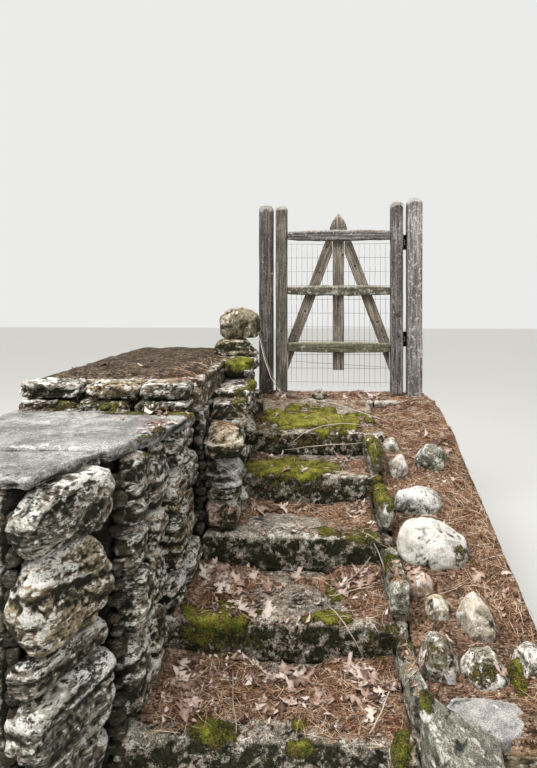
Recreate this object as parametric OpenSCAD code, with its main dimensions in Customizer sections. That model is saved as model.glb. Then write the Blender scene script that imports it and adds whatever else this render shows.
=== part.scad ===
// Stepped passage between fieldstone walls, closed at the top by a rustic timber gate.
// +Z is up and +Y runs up the flight. The origin is on the ground, at the middle of the
// first step's front edge. All sizes are in millimetres.

/* [Flight] */
// Height of the first tread above the ground
first_rise = 150; // [130:1:180]
// Height of each of the next three risers
rise = 170; // [150:1:185]
// Height of the last riser
last_rise = 140; // [120:1:160]
// Distance from the first step's front edge to the second's
going_1 = 370; // [340:1:420]
// Distance from the second step's front edge to the third's
going_2 = 410; // [380:1:450]
// Distance from the third step's front edge to the fourth's
going_3 = 370; // [340:1:420]
// Distance from the fourth step's front edge to the fifth's
going_4 = 390; // [360:1:430]
// Distance from the first step's front edge to the gate sill
flight_l = 2040; // [2000:1:2100]
// How far each slab runs under the next one
tuck = 60; // [40:1:90]
// Rounding worn into the upper edges of slabs
worn = 16; // [6:1:24]
// Deepest hollow in the broken front edge of a slab
broken = 14; // [4:1:24]
// How far the first slab's foot stands before the line of its front edge
toe = 20; // [16:1:30]
// Half the passage width, from the middle to the kerb stones
kerb_x = 490; // [460:1:520]
// How far the fifth slab runs past the line of the kerb stones
fifth_extra = 140; // [80:1:180]
// Depth of the gate sill, front to back
sill_d = 400; // [360:1:460]
// Height of the gate sill above the last tread
sill_rise = 105; // [80:1:130]

/* [Left wall] */
// Distance from the middle of the flight to the outer face of the terrace
terrace_x = 1150; // [1050:1:1300]
// How far the terrace stands in front of the first step
terrace_front = 350; // [300:1:450]
// How much wider the passage is at its front end, on the left
splay = 175; // [100:1:200]
// Height of the terrace under its flagstones
terrace_h = 1070; // [1030:1:1120]
// Thickness of the terrace flagstones
flag_t = 45; // [35:1:60]
// Height of the upper tier above the terrace
tier_h = 155; // [130:1:190]
// Distance from the first step to the front of the upper tier
tier_y = 565; // [540:1:640]
// Depth of the stones along the front of the upper tier
tier_d = 200; // [160:1:240]
// Face of the wall beside the first step, left of the middle
face_1 = 405; // [395:1:425]
// Face of the wall beside the second step
face_2 = 365; // [350:1:380]
// Face of the wall beside the upper steps
face_3 = 160; // [150:1:180]
// Back of the facing stones beside the lower steps
lower_back = 500; // [480:1:520]
// Back of the facing stones beside the upper steps
upper_back = 340; // [330:1:360]
// How far the wall's top beside the fourth step stays under the upper tier's
middle_drop = 115; // [85:1:145]
// Usual height of the large facing stones beside the lower steps
big_course_h = 205; // [180:1:240]
// Usual height of a course of facing stones beside the upper steps
course_h = 112; // [90:1:140]
// Usual length of a facing stone
stone_l = 235; // [180:1:280]
// How far the beds between courses wander up and down
bed_sway = 14; // [0:1:16]
// How far the ends of facing stones lean
end_lean = 16; // [0:1:20]
// Open joint between dry-laid stones
joint = 8; // [6:1:14]
// How far facing stones stand in or out of the face
relief = 26; // [10:1:30]

/* [Outer faces] */
// Depth of the open joints in the faces turned away from the flight
outer_joint = 32; // [24:1:40]
// How much a stone there narrows at each side, from its root to its face
outer_taper = 20; // [14:1:26]
// Usual height of a course there
outer_course = 150; // [130:1:170]
// Usual length of a stone there
outer_stone = 285; // [250:1:330]

/* [Corner stack] */
// Width of the corner stack
stack_w = 172; // [150:1:178]
// Depth of the corner stack
stack_d = 185; // [160:1:195]
// Distance from the third step's edge back to the stack
stack_back = 25; // [15:1:28]
// Height of the round stone at the foot of the stack
cobble_h = 150; // [120:1:170]
// Height of the thin stones over it
shim_h = 55; // [40:1:80]
// Height of the grey block
block_h = 150; // [120:1:170]
// How far the cream cap stone stays under the top of the terrace's masonry
cap_drop = 85; // [70:1:110]

/* [Right wall] */
// Usual length of a cobble in the wall
cobble = 120; // [105:1:135]
// Width of the rubble bed behind the kerb stones
bed_w = 485; // [440:1:560]
// Thickness of the kerb stones that stand on the slabs
kerb_t = 72; // [60:1:78]
// Height of a kerb stone above its tread
kerb_h = 150; // [120:1:165]
// Height of the level bench at the front of the bed
bench_h = 225; // [200:1:250]
// How far the bench stands in front of the first step
bench_front = 120; // [100:1:160]
// Distance from the first step to where the bed starts to climb
bench_end = 270; // [240:1:300]
// Climb of the bed for each millimetre along it
bed_climb = 0.387; // [0.37:0.001:0.4]
// Climb of the bed beside the fifth step
bed_gentle = 0.2; // [0.1:0.01:0.25]

/* [Gate posts] */
// Width of a gate post
post_w = 107; // [95:1:112]
// Height of the left post above the sill
left_post_h = 1385; // [1300:1:1500]
// Height of the right post above the sill
right_post_h = 1430; // [1300:1:1500]
// Depth of a post's socket in the masonry
socket_d = 400; // [300:1:500]
// Play round a post in its socket
socket_play = 4; // [2:1:8]
// Distance from the sill's front edge to the posts
post_set = 150; // [140:1:175]

/* [Gate leaf] */
// Distance from the middle of the flight to the hinge pins
pin_x = 868.5; // [850:0.5:880]
// Width of the leaf over its stiles
leaf_w = 918; // [880:1:925]
// Gap between the latch stile and its post
latch_gap = 13; // [11:1:20]
// Half the gap between the hinge stile and its post
pin_gap = 13.5; // [13.5:0.5:16]
// Width and thickness of a stile
stile_w = 89; // [85:1:92]
// Distance from the posts' front to the leaf's front
leaf_set = 9; // [4:1:14]
// Height of the latch stile
latch_stile_h = 1358; // [1300:1:1400]
// Height of the hinge stile
hinge_stile_h = 1383; // [1300:1:1420]
// Gap under the leaf
leaf_lift = 22; // [15:1:35]
// Height of a rail at its middle
rail_h = 84; // [75:1:92]
// How much thinner a rail is at its ends
rail_taper = 10; // [0:1:20]
// How far a rail's tenons reach into the stiles
tenon_l = 30; // [20:1:40]
// Height of a tenon
tenon_h = 50; // [40:1:60]
// Distance from the leaf's front to the rails' front
rail_set = 6; // [3:1:10]
// Height of the bottom rail's middle above the sill
bottom_rail_z = 353; // [330:1:370]
// Height of the middle rail's middle above the sill
middle_rail_z = 763; // [740:1:790]
// Height of the top rail's middle above the sill
top_rail_z = 1163; // [1140:1:1180]
// Thickness of the picket and braces
board_t = 22; // [18:1:26]
// Width of the centre picket
picket_w = 86; // [80:1:92]
// Width of the picket's spear head
spear_w = 132; // [110:1:140]
// Height of the spear head over its widest place
spear_h = 112; // [90:1:140]
// Height of the picket's foot above the sill
picket_foot = 183; // [150:1:220]
// Height of the spear's tip above the sill
picket_tip = 1328; // [1300:1:1360]
// Width of a brace
brace_w = 81; // [72:1:86]
// Lean of the braces from upright
brace_lean = 20.8; // [19:0.1:21.5]
// Distance from the picket's middle to a brace's middle, at the middle rail
brace_reach = 191; // [185:1:200]

/* [Wire mesh] */
// Thickness of the wire
wire = 2.6; // [2:0.1:3.2]
// Spacing of the upright wires
wire_x = 38.1; // [30:0.1:51]
// Spacing of the level wires
wire_z = 101.6; // [76:0.1:120]
// Height of the top wire above the sill
mesh_top = 1107; // [1100:1:1120]
// Height of the upright wires' lower ends above the sill
mesh_foot = 60; // [50:1:80]
// Smallest margin from the leaf's sides to the mesh
mesh_margin = 20; // [12:1:30]
// Height of the sagging wire's middle above the sill
sag_z = 223; // [215:1:245]
// Tilt of the sagging wire
sag_tilt = 3.4; // [0:0.1:4]

/* [Hinges] */
// Radius of a hinge pin
pin_r = 4.5; // [4:0.1:5]
// Play of a knuckle on its pin
pin_play = 0.1; // [0.05:0.01:0.3]
// Outer radius of a knuckle
knuckle_r = 8.5; // [8:0.1:8.5]
// Height of a hinge
hinge_h = 108; // [90:1:130]
// Thickness of a hinge leaf
plate_t = 4; // [3:0.1:4]
// Width of a hinge leaf
plate_w = 60; // [45:1:70]
// Gap between knuckles
knuckle_gap = 1; // [0.5:0.1:2]
// Height of the lower hinge's middle above the sill
lower_hinge_z = 411; // [380:1:440]
// Height of the upper hinge's middle above the sill
upper_hinge_z = 1115; // [1090:1:1150]

/* [Hidden] */
$fn = 48;
gap = 5;
seat = 0.1;
over = 1;
far = [1e5, 1e5, 1e5];

granite = "#8f8d86";
dark_stone = "#6b675f";
rubble = "#5d564b";
pale_stone = "#b9b4a4";
mossy = "#7c7f3c";
old_timber = "#857d6e";
iron = "#2b2825";

tread_z = [for (k = [0 : 4]) first_rise + min(k, 3) * rise + (k == 4 ? last_rise : 0)];
edge_y = [
    0, going_1, going_1 + going_2, going_1 + going_2 + going_3,
    going_1 + going_2 + going_3 + going_4, flight_l
];
going_5 = flight_l - edge_y[4];
sill_z = tread_z[4] + sill_rise;
sill_y = edge_y[5];
back_y = sill_y + sill_d;
kerb_back = kerb_x + kerb_t + 3;
outer_x = kerb_back + bed_w;
slab_right = kerb_back - gap;
fifth_right = kerb_x + fifth_extra;
wall_y = -toe - gap;
splay_x = lower_back + 45;
splay_end = splay_x + splay - 40;
tier_top = terrace_h + tier_h;
upper_h = tier_top;
middle_h = tier_top - middle_drop;
stack_y = edge_y[2] + stack_back;
stack_z = tread_z[2];
cap_z = stack_z + cobble_h + shim_h + block_h;

post_y = sill_y + post_set;
leaf_y = post_y + leaf_set;
leaf_back = leaf_y + stile_w;
leaf_right = pin_x - pin_gap;
leaf_left = leaf_right - leaf_w;
leaf_foot = sill_z + leaf_lift;
right_post_x = pin_x + pin_gap;
left_post_x = leaf_left - latch_gap - post_w;
picket_x = (leaf_left + leaf_right) / 2;
shoulder_z = picket_tip - spear_h - 60;
bay_left = leaf_left + stile_w;
bay_right = leaf_right - stile_w;
rail_y = leaf_y + rail_set;
rail_t = leaf_back - board_t - rail_y;
tenon_y = rail_y + rail_t * 0.2;
tenon_t = rail_t * 0.6;

bed_turn_y = edge_y[4] + tuck;
bed_turn_z = bench_h + bed_climb * (bed_turn_y - bench_end);

// Height of the rubble bed's surface at a distance up the flight
function bed_z(y) =
    y < bench_end ? bench_h
    : y < bed_turn_y ? bench_h + bed_climb * (y - bench_end)
    : bed_turn_z + bed_gentle * (y - bed_turn_y);

function total(v, i = 0) = i == len(v) ? 0 : v[i] + total(v, i + 1);

// Middle of a list of plan points
function middle(pts) = [for (k = [0, 1]) total([for (p = pts) p[k]]) / len(pts)];

// A point moved towards another by a distance
function drawn_in(p, c, d) = p + d * (c - p) / norm(c - p);

// Coordinates kept between low and high limits
function kept(v, lo, hi) = [for (k = [0 : 2]) min(max(v[k], lo[k]), hi[k])];

// Corners of a rectangle between two x and two y values
function oblong(x0, x1, y0, y1) = [[x0, y0], [x1, y0], [x1, y1], [x0, y1]];

// Plan outline with uneven hollows along its sides
function uneven(pts, depth, seed) =
    let (n = len(pts), r = rands(-1, 1, 8 * n, seed))
    [
        for (i = [0 : n - 1])
            let (a = pts[i], b = pts[(i + 1) % n], d = norm(b - a))
            let (inward = [a[1] - b[1], b[0] - a[0]] / d, cuts = d > 650 ? 4 : d > 250 ? 3 : 1)
            for (k = [0 : cuts - 1])
                k == 0 ? a
                : a + (b - a) * (k + 0.25 * r[8 * i + k]) / cuts + inward * depth * abs(r[8 * i + 4 + k])
    ];

// Places that divide a length into uneven parts of about one size
function parted(a, b, size, seed) =
    let (n = max(1, round((b - a) / size)), r = rands(-0.24, 0.24, n + 1, seed))
    [for (i = [0 : n]) i == 0 ? a : i == n ? b : a + (b - a) * (i + r[i]) / n];

// Closed stack of rings of equally many points, each anticlockwise seen from the last ring
module rings(levels) {
    n = len(levels[0]);
    m = len(levels);
    sides = [
        for (j = [0 : m - 2], i = [0 : n - 1], k = [0, 1])
            let (a = j * n + i, b = j * n + (i + 1) % n)
            k == 0 ? [a, b + n, b] : [a, a + n, b + n]
    ];
    first = [[for (i = [0 : n - 1]) i]];
    last = [[for (i = [n - 1 : -1 : 0]) (m - 1) * n + i]];
    polyhedron([for (ring = levels) each ring], concat(sides, first, last), 4);
}

// Slab on a plan outline: level bed, worn upper edge, top tilted by a slope along X and Y
module slab(pts, z0, z1, edge = worn, tilt = [0, 0]) {
    c = middle(pts);
    profile = [
        [0, z0, edge / 3], [0, z0 + edge / 3, 0],
        [1, z1 - edge, 0], [1, z1 - edge / 3, edge / 3], [1, z1, edge]
    ];
    rings([
        for (v = profile) [
            for (p = pts)
                let (q = drawn_in(p, c, v[2]))
                [q[0], q[1], v[1] + v[0] * (tilt * (q - c))]
        ]
    ]);
}

// Distance from a stone's middle to its skin: a rounded block, flattened by split faces
function skin_r(d, half, squareness, splits) =
    let (sum = total([for (k = [0 : 2]) pow(abs(d[k] / half[k]), squareness)]))
    let (round_r = 1 / pow(sum, 1 / squareness))
    min([
        round_r,
        for (s = splits)
            let (n = [cos(s[0]) * cos(s[1]), sin(s[0]) * cos(s[1]), sin(s[1])])
            let (reach = s[2] * norm([for (k = [0 : 2]) half[k] * n[k]]), lean = n * d)
            lean < 0.05 ? round_r : reach / lean
    ]);

// Field stone lying on a bed at a point; size is length, width, height above the bed
module field_stone(at, size, seed, turn = 0, squareness = 2.8, slope = 0, lo = -far, hi = far, faces = 5) {
    n = 12;
    m = 7;
    half = [size[0] / 2, size[1] / 2, size[2] * 0.6];
    r = rands(0, 1, 3 * faces, seed);
    splits = [
        for (k = [0 : faces - 1])
            [360 * (k + r[3 * k]) / faces, 65 * r[3 * k + 1] - 10, 0.78 + 0.17 * r[3 * k + 2]]
    ];
    function spot(u, t) =
        let (v = [half[0] * cos(u) * cos(t), half[1] * sin(u) * cos(t), half[2] * sin(t)])
        let (p = skin_r(v / norm(v), half, squareness, splits) * v / norm(v))
        let (x = p[0] * cos(turn) - p[1] * sin(turn), y = p[0] * sin(turn) + p[1] * cos(turn))
        let (w = kept(at + [x, y, size[2] * 0.4 + p[2]], lo, hi))
        [w[0], w[1], max(w[2], at[2] + slope * (w[1] - at[1]))];
    body = [for (j = [1 : m], i = [0 : n - 1]) spot(360 * (i + 0.5 * (j % 2)) / n, -90 + 180 * j / (m + 1))];
    sides = [
        for (j = [0 : m - 2], i = [0 : n - 1])
            let (a = 1 + j * n + i, b = 1 + j * n + (i + 1) % n)
            each (j % 2 == 1 ? [[a, a + n, b], [b, a + n, b + n]] : [[a, a + n, b + n], [a, b + n, b]])
    ];
    foot = [for (i = [0 : n - 1]) [0, 1 + i, 1 + (i + 1) % n]];
    head = [for (i = [0 : n - 1]) [m * n + 1, 1 + (m - 1) * n + (i + 1) % n, 1 + (m - 1) * n + i]];
    polyhedron(concat([spot(0, -90)], body, [spot(0, 90)]), concat(sides, foot, head), 4);
}

// Field stone on the climbing bed of the right wall
module bed_stone(x, y, size, seed, turn = 0, squareness = 2.8, faces = 5) {
    slope = y > bed_turn_y ? bed_gentle : y > bench_end ? bed_climb : 0;
    field_stone([x, y, bed_z(y) + seat], size, seed, turn, squareness, slope, faces = faces);
}

// One facing stone: flat back on y = 0, four corners in its face chipped, face bulging
module facing_stone(quad, depth, seed) {
    r = rands(0.14, 0.36, 8, seed);
    sides = [for (k = [0 : 3]) quad[(k + 1) % 4] - quad[k]];
    short = min([for (v = sides) norm(v)]);
    outline = [
        for (k = [0 : 3])
            let (before = -sides[(k + 3) % 4], after = sides[k])
            each [
                quad[k] + short * r[2 * k] * before / norm(before),
                quad[k] + short * r[2 * k + 1] * after / norm(after)
            ]
    ];
    c = middle(outline);
    chip = min(24, short / 5);
    rings([
        for (v = [[0, 0], [depth - 1.2 * chip, 0], [depth - 0.4 * chip, 0.6 * chip], [depth, 1.4 * chip]])
            [for (p = outline) let (q = drawn_in(p, c, v[1])) [q[0], v[0], q[1]]]
    ]);
}

// Height of the wandering bed between two courses; its waves are long next to a stone
function bed_line(x, z) = z + bed_sway * (0.75 * sin(0.24 * x + 1.7 * z) + 0.25 * sin(0.4 * x - 2.9 * z));

// Dry-laid facing on the plane y = 0, standing out along +y, in uneven courses
module coursed(l, z0, z1, depth, seed, stone = stone_l, course = course_h, out = relief) {
    rows = parted(z0, z1, course, seed);
    top = len(rows) - 2;
    function low(i, x) = [x, i == 0 ? z0 : bed_line(x, rows[i]) + joint / 2];
    function high(i, x) = [x, i == top ? z1 : bed_line(x, rows[i + 1]) - joint / 2];
    for (i = [0 : top]) {
        cuts = parted(0, l, stone, seed + 7 * i + 1);
        end = len(cuts) - 1;
        r = rands(-1, 1, 2 * end + 2, seed + 7 * i + 2);
        lean = [for (j = [0 : end]) j == 0 || j == end ? 0 : end_lean * r[j]];
        for (j = [0 : end - 1])
            facing_stone([
                high(i, cuts[j] + lean[j] + joint / 2), high(i, cuts[j + 1] + lean[j + 1] - joint / 2),
                low(i, cuts[j + 1] - lean[j + 1] - joint / 2), low(i, cuts[j] - lean[j] + joint / 2)
            ], depth + out * r[end + 1 + j], seed + 31 * i + j);
    }
}

// Facing that looks right across the passage, from one y to another
module left_facing(back, face, y0, y1, z0, z1, seed, course = course_h) {
    translate([-back, y1, 0]) rotate([0, 0, -90])
        coursed(y1 - y0, z0, z1, back - face, seed, course = course);
}

// Outer face on the plane y = 0: stones that narrow as they stand out along +y
module outer_face(l, z0, z1, seed) {
    rows = parted(z0, z1, outer_course, seed);
    top = len(rows) - 2;
    function row_z(i, x) = i == 0 ? z0 : i > top ? z1 : bed_line(x, rows[i]);
    for (i = [0 : top]) {
        cuts = parted(0, l, outer_stone, seed + 7 * i + 1);
        short = rands(0, 7, len(cuts), seed + 7 * i + 2);
        for (j = [0 : len(cuts) - 2]) {
            quad = [
                for (v = [[0, 1], [1, 1], [1, 0], [0, 0]])
                    let (x = cuts[j + v[0]]) [x, row_z(i + v[1], x)]
            ];
            narrow = outer_taper * [[1, -1], [-1, -1], [-1, min(i, 1)], [1, min(i, 1)]];
            rings([
                for (v = [[-over, 0.1], [outer_joint - short[j], 1]])
                    [for (k = [0 : 3]) let (q = quad[k] + v[1] * narrow[k]) [q[0], v[0], q[1]]]
            ]);
        }
    }
}

// Treads: each slab is tailed into both walls and runs under the next
module flight_slab(k, left, right, seed) {
    y0 = k == 0 ? -toe : edge_y[k];
    y1 = edge_y[k + 1] + (k < 4 ? tuck : 0);
    z0 = k == 0 ? 0 : tread_z[k - 1];
    color(granite) slab(uneven(oblong(left, right, y0, y1), broken, seed), z0, tread_z[k]);
}
module step_1() { flight_slab(0, gap - lower_back, slab_right, 11); }
module step_2() { flight_slab(1, gap - lower_back, slab_right, 27); }
module step_3() { flight_slab(2, gap - upper_back, slab_right, 35); }
module step_4() { flight_slab(3, gap - upper_back, slab_right, 44); }
module step_5() { flight_slab(4, gap - upper_back, fifth_right, 52); }

// Mossy wedge of stone that carries the walk from the fifth tread up to the sill
module landing_stone() {
    plan = uneven(oblong(20 - face_3, fifth_right - 40, edge_y[4] + 120, edge_y[5] - gap), 24, 61);
    height = sill_rise * 0.58;
    color(mossy) slab(plan, tread_z[4], tread_z[4] + height, 14, [0, sill_rise * 0.8 / (going_5 - 120)]);
}

// Socket for a post, from a depth below the sill up through it
module post_socket(x) {
    translate([x - socket_play, post_y - socket_play, sill_z - socket_d])
        cube([post_w + 2 * socket_play, post_w + 2 * socket_play, socket_d + over]);
}

// Three flagstones under the gate, the outer two cut round the posts
module gate_sill_flags() {
    breaks = [gap - upper_back, picket_x - 150, picket_x + 230, outer_x - gap];
    color(granite) difference() {
        for (k = [0 : 2])
            slab(uneven(oblong(breaks[k] + joint / 2, breaks[k + 1] - joint / 2, sill_y, back_y), 8, 70 + k),
                tread_z[4], sill_z, 10);
        post_socket(left_post_x);
        post_socket(right_post_x);
    }
}

// Stepped rubble that carries the backs of the upper slabs
module stair_core() {
    front = [for (k = [1 : 4]) edge_y[k] + tuck + gap];
    profile = [
        [edge_y[5], 0], [edge_y[5], tread_z[3]],
        for (k = [3 : -1 : 0]) each [[front[k], tread_z[k]], [front[k], k > 0 ? tread_z[k - 1] : 0]]
    ];
    color(rubble) translate([gap - upper_back, 0, 0]) rotate([90, 0, 90])
        linear_extrude(slab_right + upper_back - gap) polygon(profile);
}

// Rubble platform under the gate, with the posts' sockets
module landing_core() {
    left = gap - upper_back;
    color(rubble) difference() {
        union() {
            translate([left, sill_y, 0])
                cube([outer_x - outer_joint - left, sill_d - outer_joint, tread_z[4]]);
            translate([left, back_y - outer_joint, 0])
                outer_face(outer_x - outer_joint - left - over, 0, tread_z[4] - over, 911);
            translate([outer_x - outer_joint, back_y, 0]) rotate([0, 0, -90])
                outer_face(sill_d, 0, tread_z[4] - over, 915);
        }
        post_socket(left_post_x);
        post_socket(right_post_x);
    }
}

// Hearting of the left wall and its terrace
module left_wall_core() {
    corner_y = edge_y[2] + tuck + gap;
    outer = outer_joint - terrace_x;
    front = outer_joint - terrace_front;
    plan = [
        [outer, front], [-splay_end, front], [-splay_x, wall_y],
        [-lower_back, wall_y], [-lower_back, corner_y], [-upper_back, corner_y],
        [-upper_back, back_y - outer_joint], [outer, back_y - outer_joint]
    ];
    color(rubble) union() {
        linear_extrude(terrace_h) polygon(plan);
        translate([outer, -terrace_front, 0]) rotate([0, 0, 90])
            outer_face(back_y + terrace_front, 0, terrace_h - over, 921);
        translate([outer + over, back_y - outer_joint, 0])
            outer_face(-upper_back - outer - over, 0, terrace_h - over, 925);
        translate([-splay_end, front, 0]) rotate([0, 0, 180])
            outer_face(-splay_end - outer - over, 0, terrace_h - over, 927);
    }
}

// Dry-laid face beside the first two steps and out to the front of the terrace
module left_wall_lower_face() {
    run = [splay_end - splay_x, terrace_front + wall_y];
    color(dark_stone) {
        translate([-splay_x, wall_y, 0]) rotate([0, 0, atan2(-run[1], -run[0])])
            coursed(norm(run), 0, terrace_h, splay_x - 450, 101, course = big_course_h);
        left_facing(lower_back, face_1, edge_y[0], edge_y[1] - gap, tread_z[0], terrace_h, 121,
            big_course_h);
        left_facing(lower_back, face_2, edge_y[1], edge_y[2] + tuck, tread_z[1], terrace_h, 142,
            big_course_h * 0.86);
    }
}

// Dry-laid face beside the upper steps
module left_wall_upper_face() {
    color(dark_stone) {
        left_facing(upper_back, face_3, stack_y + stack_d + gap, edge_y[3] - gap, tread_z[2], terrace_h, 160);
        left_facing(upper_back, face_3 + 6, edge_y[3], edge_y[4] - gap, tread_z[3], middle_h, 180);
        left_facing(upper_back, face_3 + 10, edge_y[4], edge_y[5] - gap, tread_z[4], upper_h, 200);
    }
}

// One stone of the stack that turns the wall's corner on the third step
module stack_stone(z0, h, seed, squareness, out = 0) {
    left = 3 - upper_back;
    lo = [left, stack_y - 12 - out, z0];
    hi = [left + stack_w + out, stack_y + stack_d, z0 + h];
    field_stone([left + (stack_w + out) / 2, stack_y + (stack_d - 12 - out) / 2, z0],
        [stack_w * 1.16, stack_d * 1.2, h * 1.12], seed, 0, squareness, lo = lo, hi = hi);
}
module corner_cobble() { color("#8c7066") stack_stone(stack_z, cobble_h, 301, 2.6); }
module corner_shims() { color(dark_stone) stack_stone(stack_z + cobble_h, shim_h, 302, 7); }
module corner_block() { color("#7d7b76") stack_stone(stack_z + cobble_h + shim_h, block_h, 303, 5, 8); }
module corner_cap() { color("#c9bc97") stack_stone(cap_z, terrace_h - cap_drop - cap_z, 304, 4.5, 14); }

// Large flat stone over the wall beside the steps
module terrace_slab() {
    plan = [
        [10 - terrace_x, -60], [-face_1 - 85, -60], [-face_1 - 35, 80], [20 - face_1, 225],
        [20 - face_2, 400], [45 - face_2, tier_y - 40], [-terrace_x + 10, tier_y - gap]
    ];
    color("#8a8b8d") slab(plan, terrace_h, terrace_h + flag_t, 10);
}

// Flat stone at the front end of the terrace
module terrace_front_slab() {
    plan = uneven([[10 - terrace_x, 8 - terrace_front], [-splay_end + 60, 8 - terrace_front],
        [-face_1 - 95, -72], [10 - terrace_x, -72]], 14, 90);
    color("#8a8b8d") slab(plan, terrace_h, terrace_h + flag_t - 6, 10);
}

// Rubble and earth of the upper tier
module upper_tier_core() {
    outer = outer_joint - terrace_x;
    back = back_y - outer_joint;
    plan = oblong(outer, -upper_back, tier_y + tier_d, back);
    color(mossy) union() {
        slab(plan, terrace_h, tier_top, 12);
        translate([outer, tier_y + tier_d, 0]) rotate([0, 0, 90])
            outer_face(back_y - tier_y - tier_d, terrace_h + 4, tier_top - 12, 931);
        translate([outer + over, back, 0])
            outer_face(-upper_back - outer - over, terrace_h + 4, tier_top - 12, 935);
    }
}

// Thin flat stones along the front of the upper tier
module upper_tier_stones() {
    color(dark_stone) translate([-face_2 - gap, tier_y + tier_d, 0]) rotate([0, 0, 180])
        coursed(terrace_x - face_2 - gap, terrace_h, tier_top, tier_d - 22, 401, 260, 75, 18);
}

// Two boulders that lie on the wall's end and the tier, before the left post
module post_boulder_low() {
    color(dark_stone) field_stone([-upper_back + 25, edge_y[5] - 122, upper_h + seat],
        [345, 215, 118], 501, 6, 3.2, faces = 6);
}
module post_boulder_top() {
    color("#8a8272") field_stone([-upper_back + 50, edge_y[5] - 116, upper_h + 118 + 2 * seat],
        [300, 215, 200], 502, 12, 2.5, faces = 4);
}

// Climbing rubble bed of the right wall, cut back for the fifth slab
module right_wall_bed() {
    profile = [
        [-bench_front, 0], [edge_y[5], 0], [edge_y[5], bed_z(edge_y[5])],
        [bed_turn_y, bed_turn_z], [bench_end, bench_h], [-bench_front, bench_h]
    ];
    module bed(w) { translate([kerb_back, 0, 0]) rotate([90, 0, 90]) linear_extrude(w) polygon(profile); }
    color(rubble) difference() {
        union() {
            bed(bed_w - outer_joint);
            intersection() {
                bed(bed_w);
                translate([outer_x - outer_joint, edge_y[5], 0]) rotate([0, 0, -90])
                    outer_face(edge_y[5] + bench_front, 0, bed_z(edge_y[5]), 941);
            }
        }
        translate([kerb_back - over, edge_y[4] - gap, tread_z[3] - gap])
            cube([fifth_right + gap - kerb_back + over, going_5 + 2 * gap, last_rise + 2 * gap + rise]);
    }
}

// Upright stones on the right-hand ends of the slabs
module kerb_stones() {
    color(dark_stone) for (k = [0 : 3])
        translate([kerb_back, edge_y[k] + 14, 0]) rotate([0, 0, 90])
            coursed(edge_y[k + 1] - edge_y[k] - 14 - gap, tread_z[k], tread_z[k] + kerb_h,
                kerb_t + 3 - relief / 3, 600 + 13 * k, 150, kerb_h, relief / 3);
}

// Big split block in front of the bed; its top falls away to the right and to the front
module angular_block() {
    front = -bench_front - seat;
    plan = [
        [kerb_x + 22, front - 190], [kerb_x + 110, front - 228], [kerb_x + 222, front - 196],
        [kerb_x + 240, front], [kerb_x + 10, front], [kerb_x, front - 80]
    ];
    color(granite) slab(plan, 0, bench_h + 128, 16, [-0.62, 0.16]);
}

// Loose grey slab on the bench
module flat_grey_slab() {
    front = -bench_front;
    plan = [
        [600, front + 10], [720, front + 2], [830, front + 18], [868, front + 80], [850, front + 168],
        [742, front + 190], [640, front + 182], [586, front + 108]
    ];
    color("#8b8b8a") slab(plan, bench_h + seat, bench_h + 48, 12);
}

// Stone in the right wall: a step, shares of its going and of the bed's width, size in cobbles
module wall_stone(k, along, across, size, seed, turn = 0, squareness = 2.8, faces = 5) {
    y = edge_y[k] + along * (edge_y[k + 1] - edge_y[k]);
    bed_stone(kerb_back + across * bed_w, y, cobble * size, seed, turn, squareness, faces);
}

// Boulders on the bench
module bench_boulders() {
    color(dark_stone) {
        wall_stone(0, 0.56, 0.14, [1.1, 1.3, 1.34], 701, 0, 3);
        wall_stone(0, 0.42, 0.45, [1.3, 1.3, 1.21], 702, 8, 3);
        wall_stone(0, 0.48, 0.79, [1.4, 1.6, 1.4], 703, 6, 3.4);
    }
}

// Cobbles set in the foot of the slope
module slope_cobbles() {
    color("#a8937f") {
        wall_stone(1, 0.46, 0.137, [1.0, 1.0, 0.98], 711, 0, 2.5, 2);
        wall_stone(1, 0.20, 0.25, [0.87, 0.92, 0.94], 712, 0, 2.5, 2);
        wall_stone(1, 0.05, 0.52, [1.12, 1.6, 1.4], 713, 10, 3.2);
    }
}
module pale_boulder() { color(pale_stone) wall_stone(1, 0.90, 0.34, [2.6, 1.85, 1.6], 721, -12, 2.8, 4); }
module lichen_boulder() { color("#c4c2b8") wall_stone(2, 0.66, 0.315, [2.3, 1.5, 1.06], 722, 6, 3.4); }

// Stones that edge the bed beside the fourth and fifth steps
module upper_kerb_boulders() {
    color("#8d8d85") {
        wall_stone(3, 0.31, 0.20, [0.9, 0.9, 1.14], 731, 0, 2.8);
        wall_stone(3, 0.42, 0.60, [1.6, 1.35, 1.4], 732, -12, 3.4);
        wall_stone(3, 0.84, 0.19, [0.8, 0.8, 0.8], 733, 10, 2.8);
    }
}

// Small mossy stone at the foot of the split block
module moss_cobble() {
    size = cobble * [0.84, 1.4, 2.8];
    color(mossy) field_stone([kerb_x - 36, -bench_front - 35, 0], size, 741, 0, 2.8,
        hi = [kerb_x - seat, -bench_front + 60, far[2]]);
}

// Loose cobble before the gate
module landing_cobble() {
    size = cobble * [1.02, 0.72, 0.48];
    color(pale_stone) field_stone([258, sill_y + 62, sill_z], size, 751, 8, 2.2, faces = 2);
}

// Square timber with a weathered, rounded crown
module timber(w, h, crown) {
    profile = [
        [0, 0], [w, 0], [w, h - crown], [w - crown * 0.35, h - crown * 0.35],
        [w * 0.62, h], [w * 0.38, h], [crown * 0.35, h - crown * 0.35], [0, h - crown]
    ];
    intersection() {
        translate([0, w, 0]) rotate([90, 0, 0]) linear_extrude(w) polygon(profile);
        rotate([90, 0, 90]) linear_extrude(w) polygon(profile);
    }
}
module left_gate_post() {
    color("#6f6a66") translate([left_post_x, post_y, sill_z - socket_d])
        timber(post_w, socket_d + left_post_h, 30);
}
module right_gate_post() {
    color("#8f8f8c") translate([right_post_x, post_y, sill_z - socket_d])
        timber(post_w, socket_d + right_post_h, 38);
}

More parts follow.
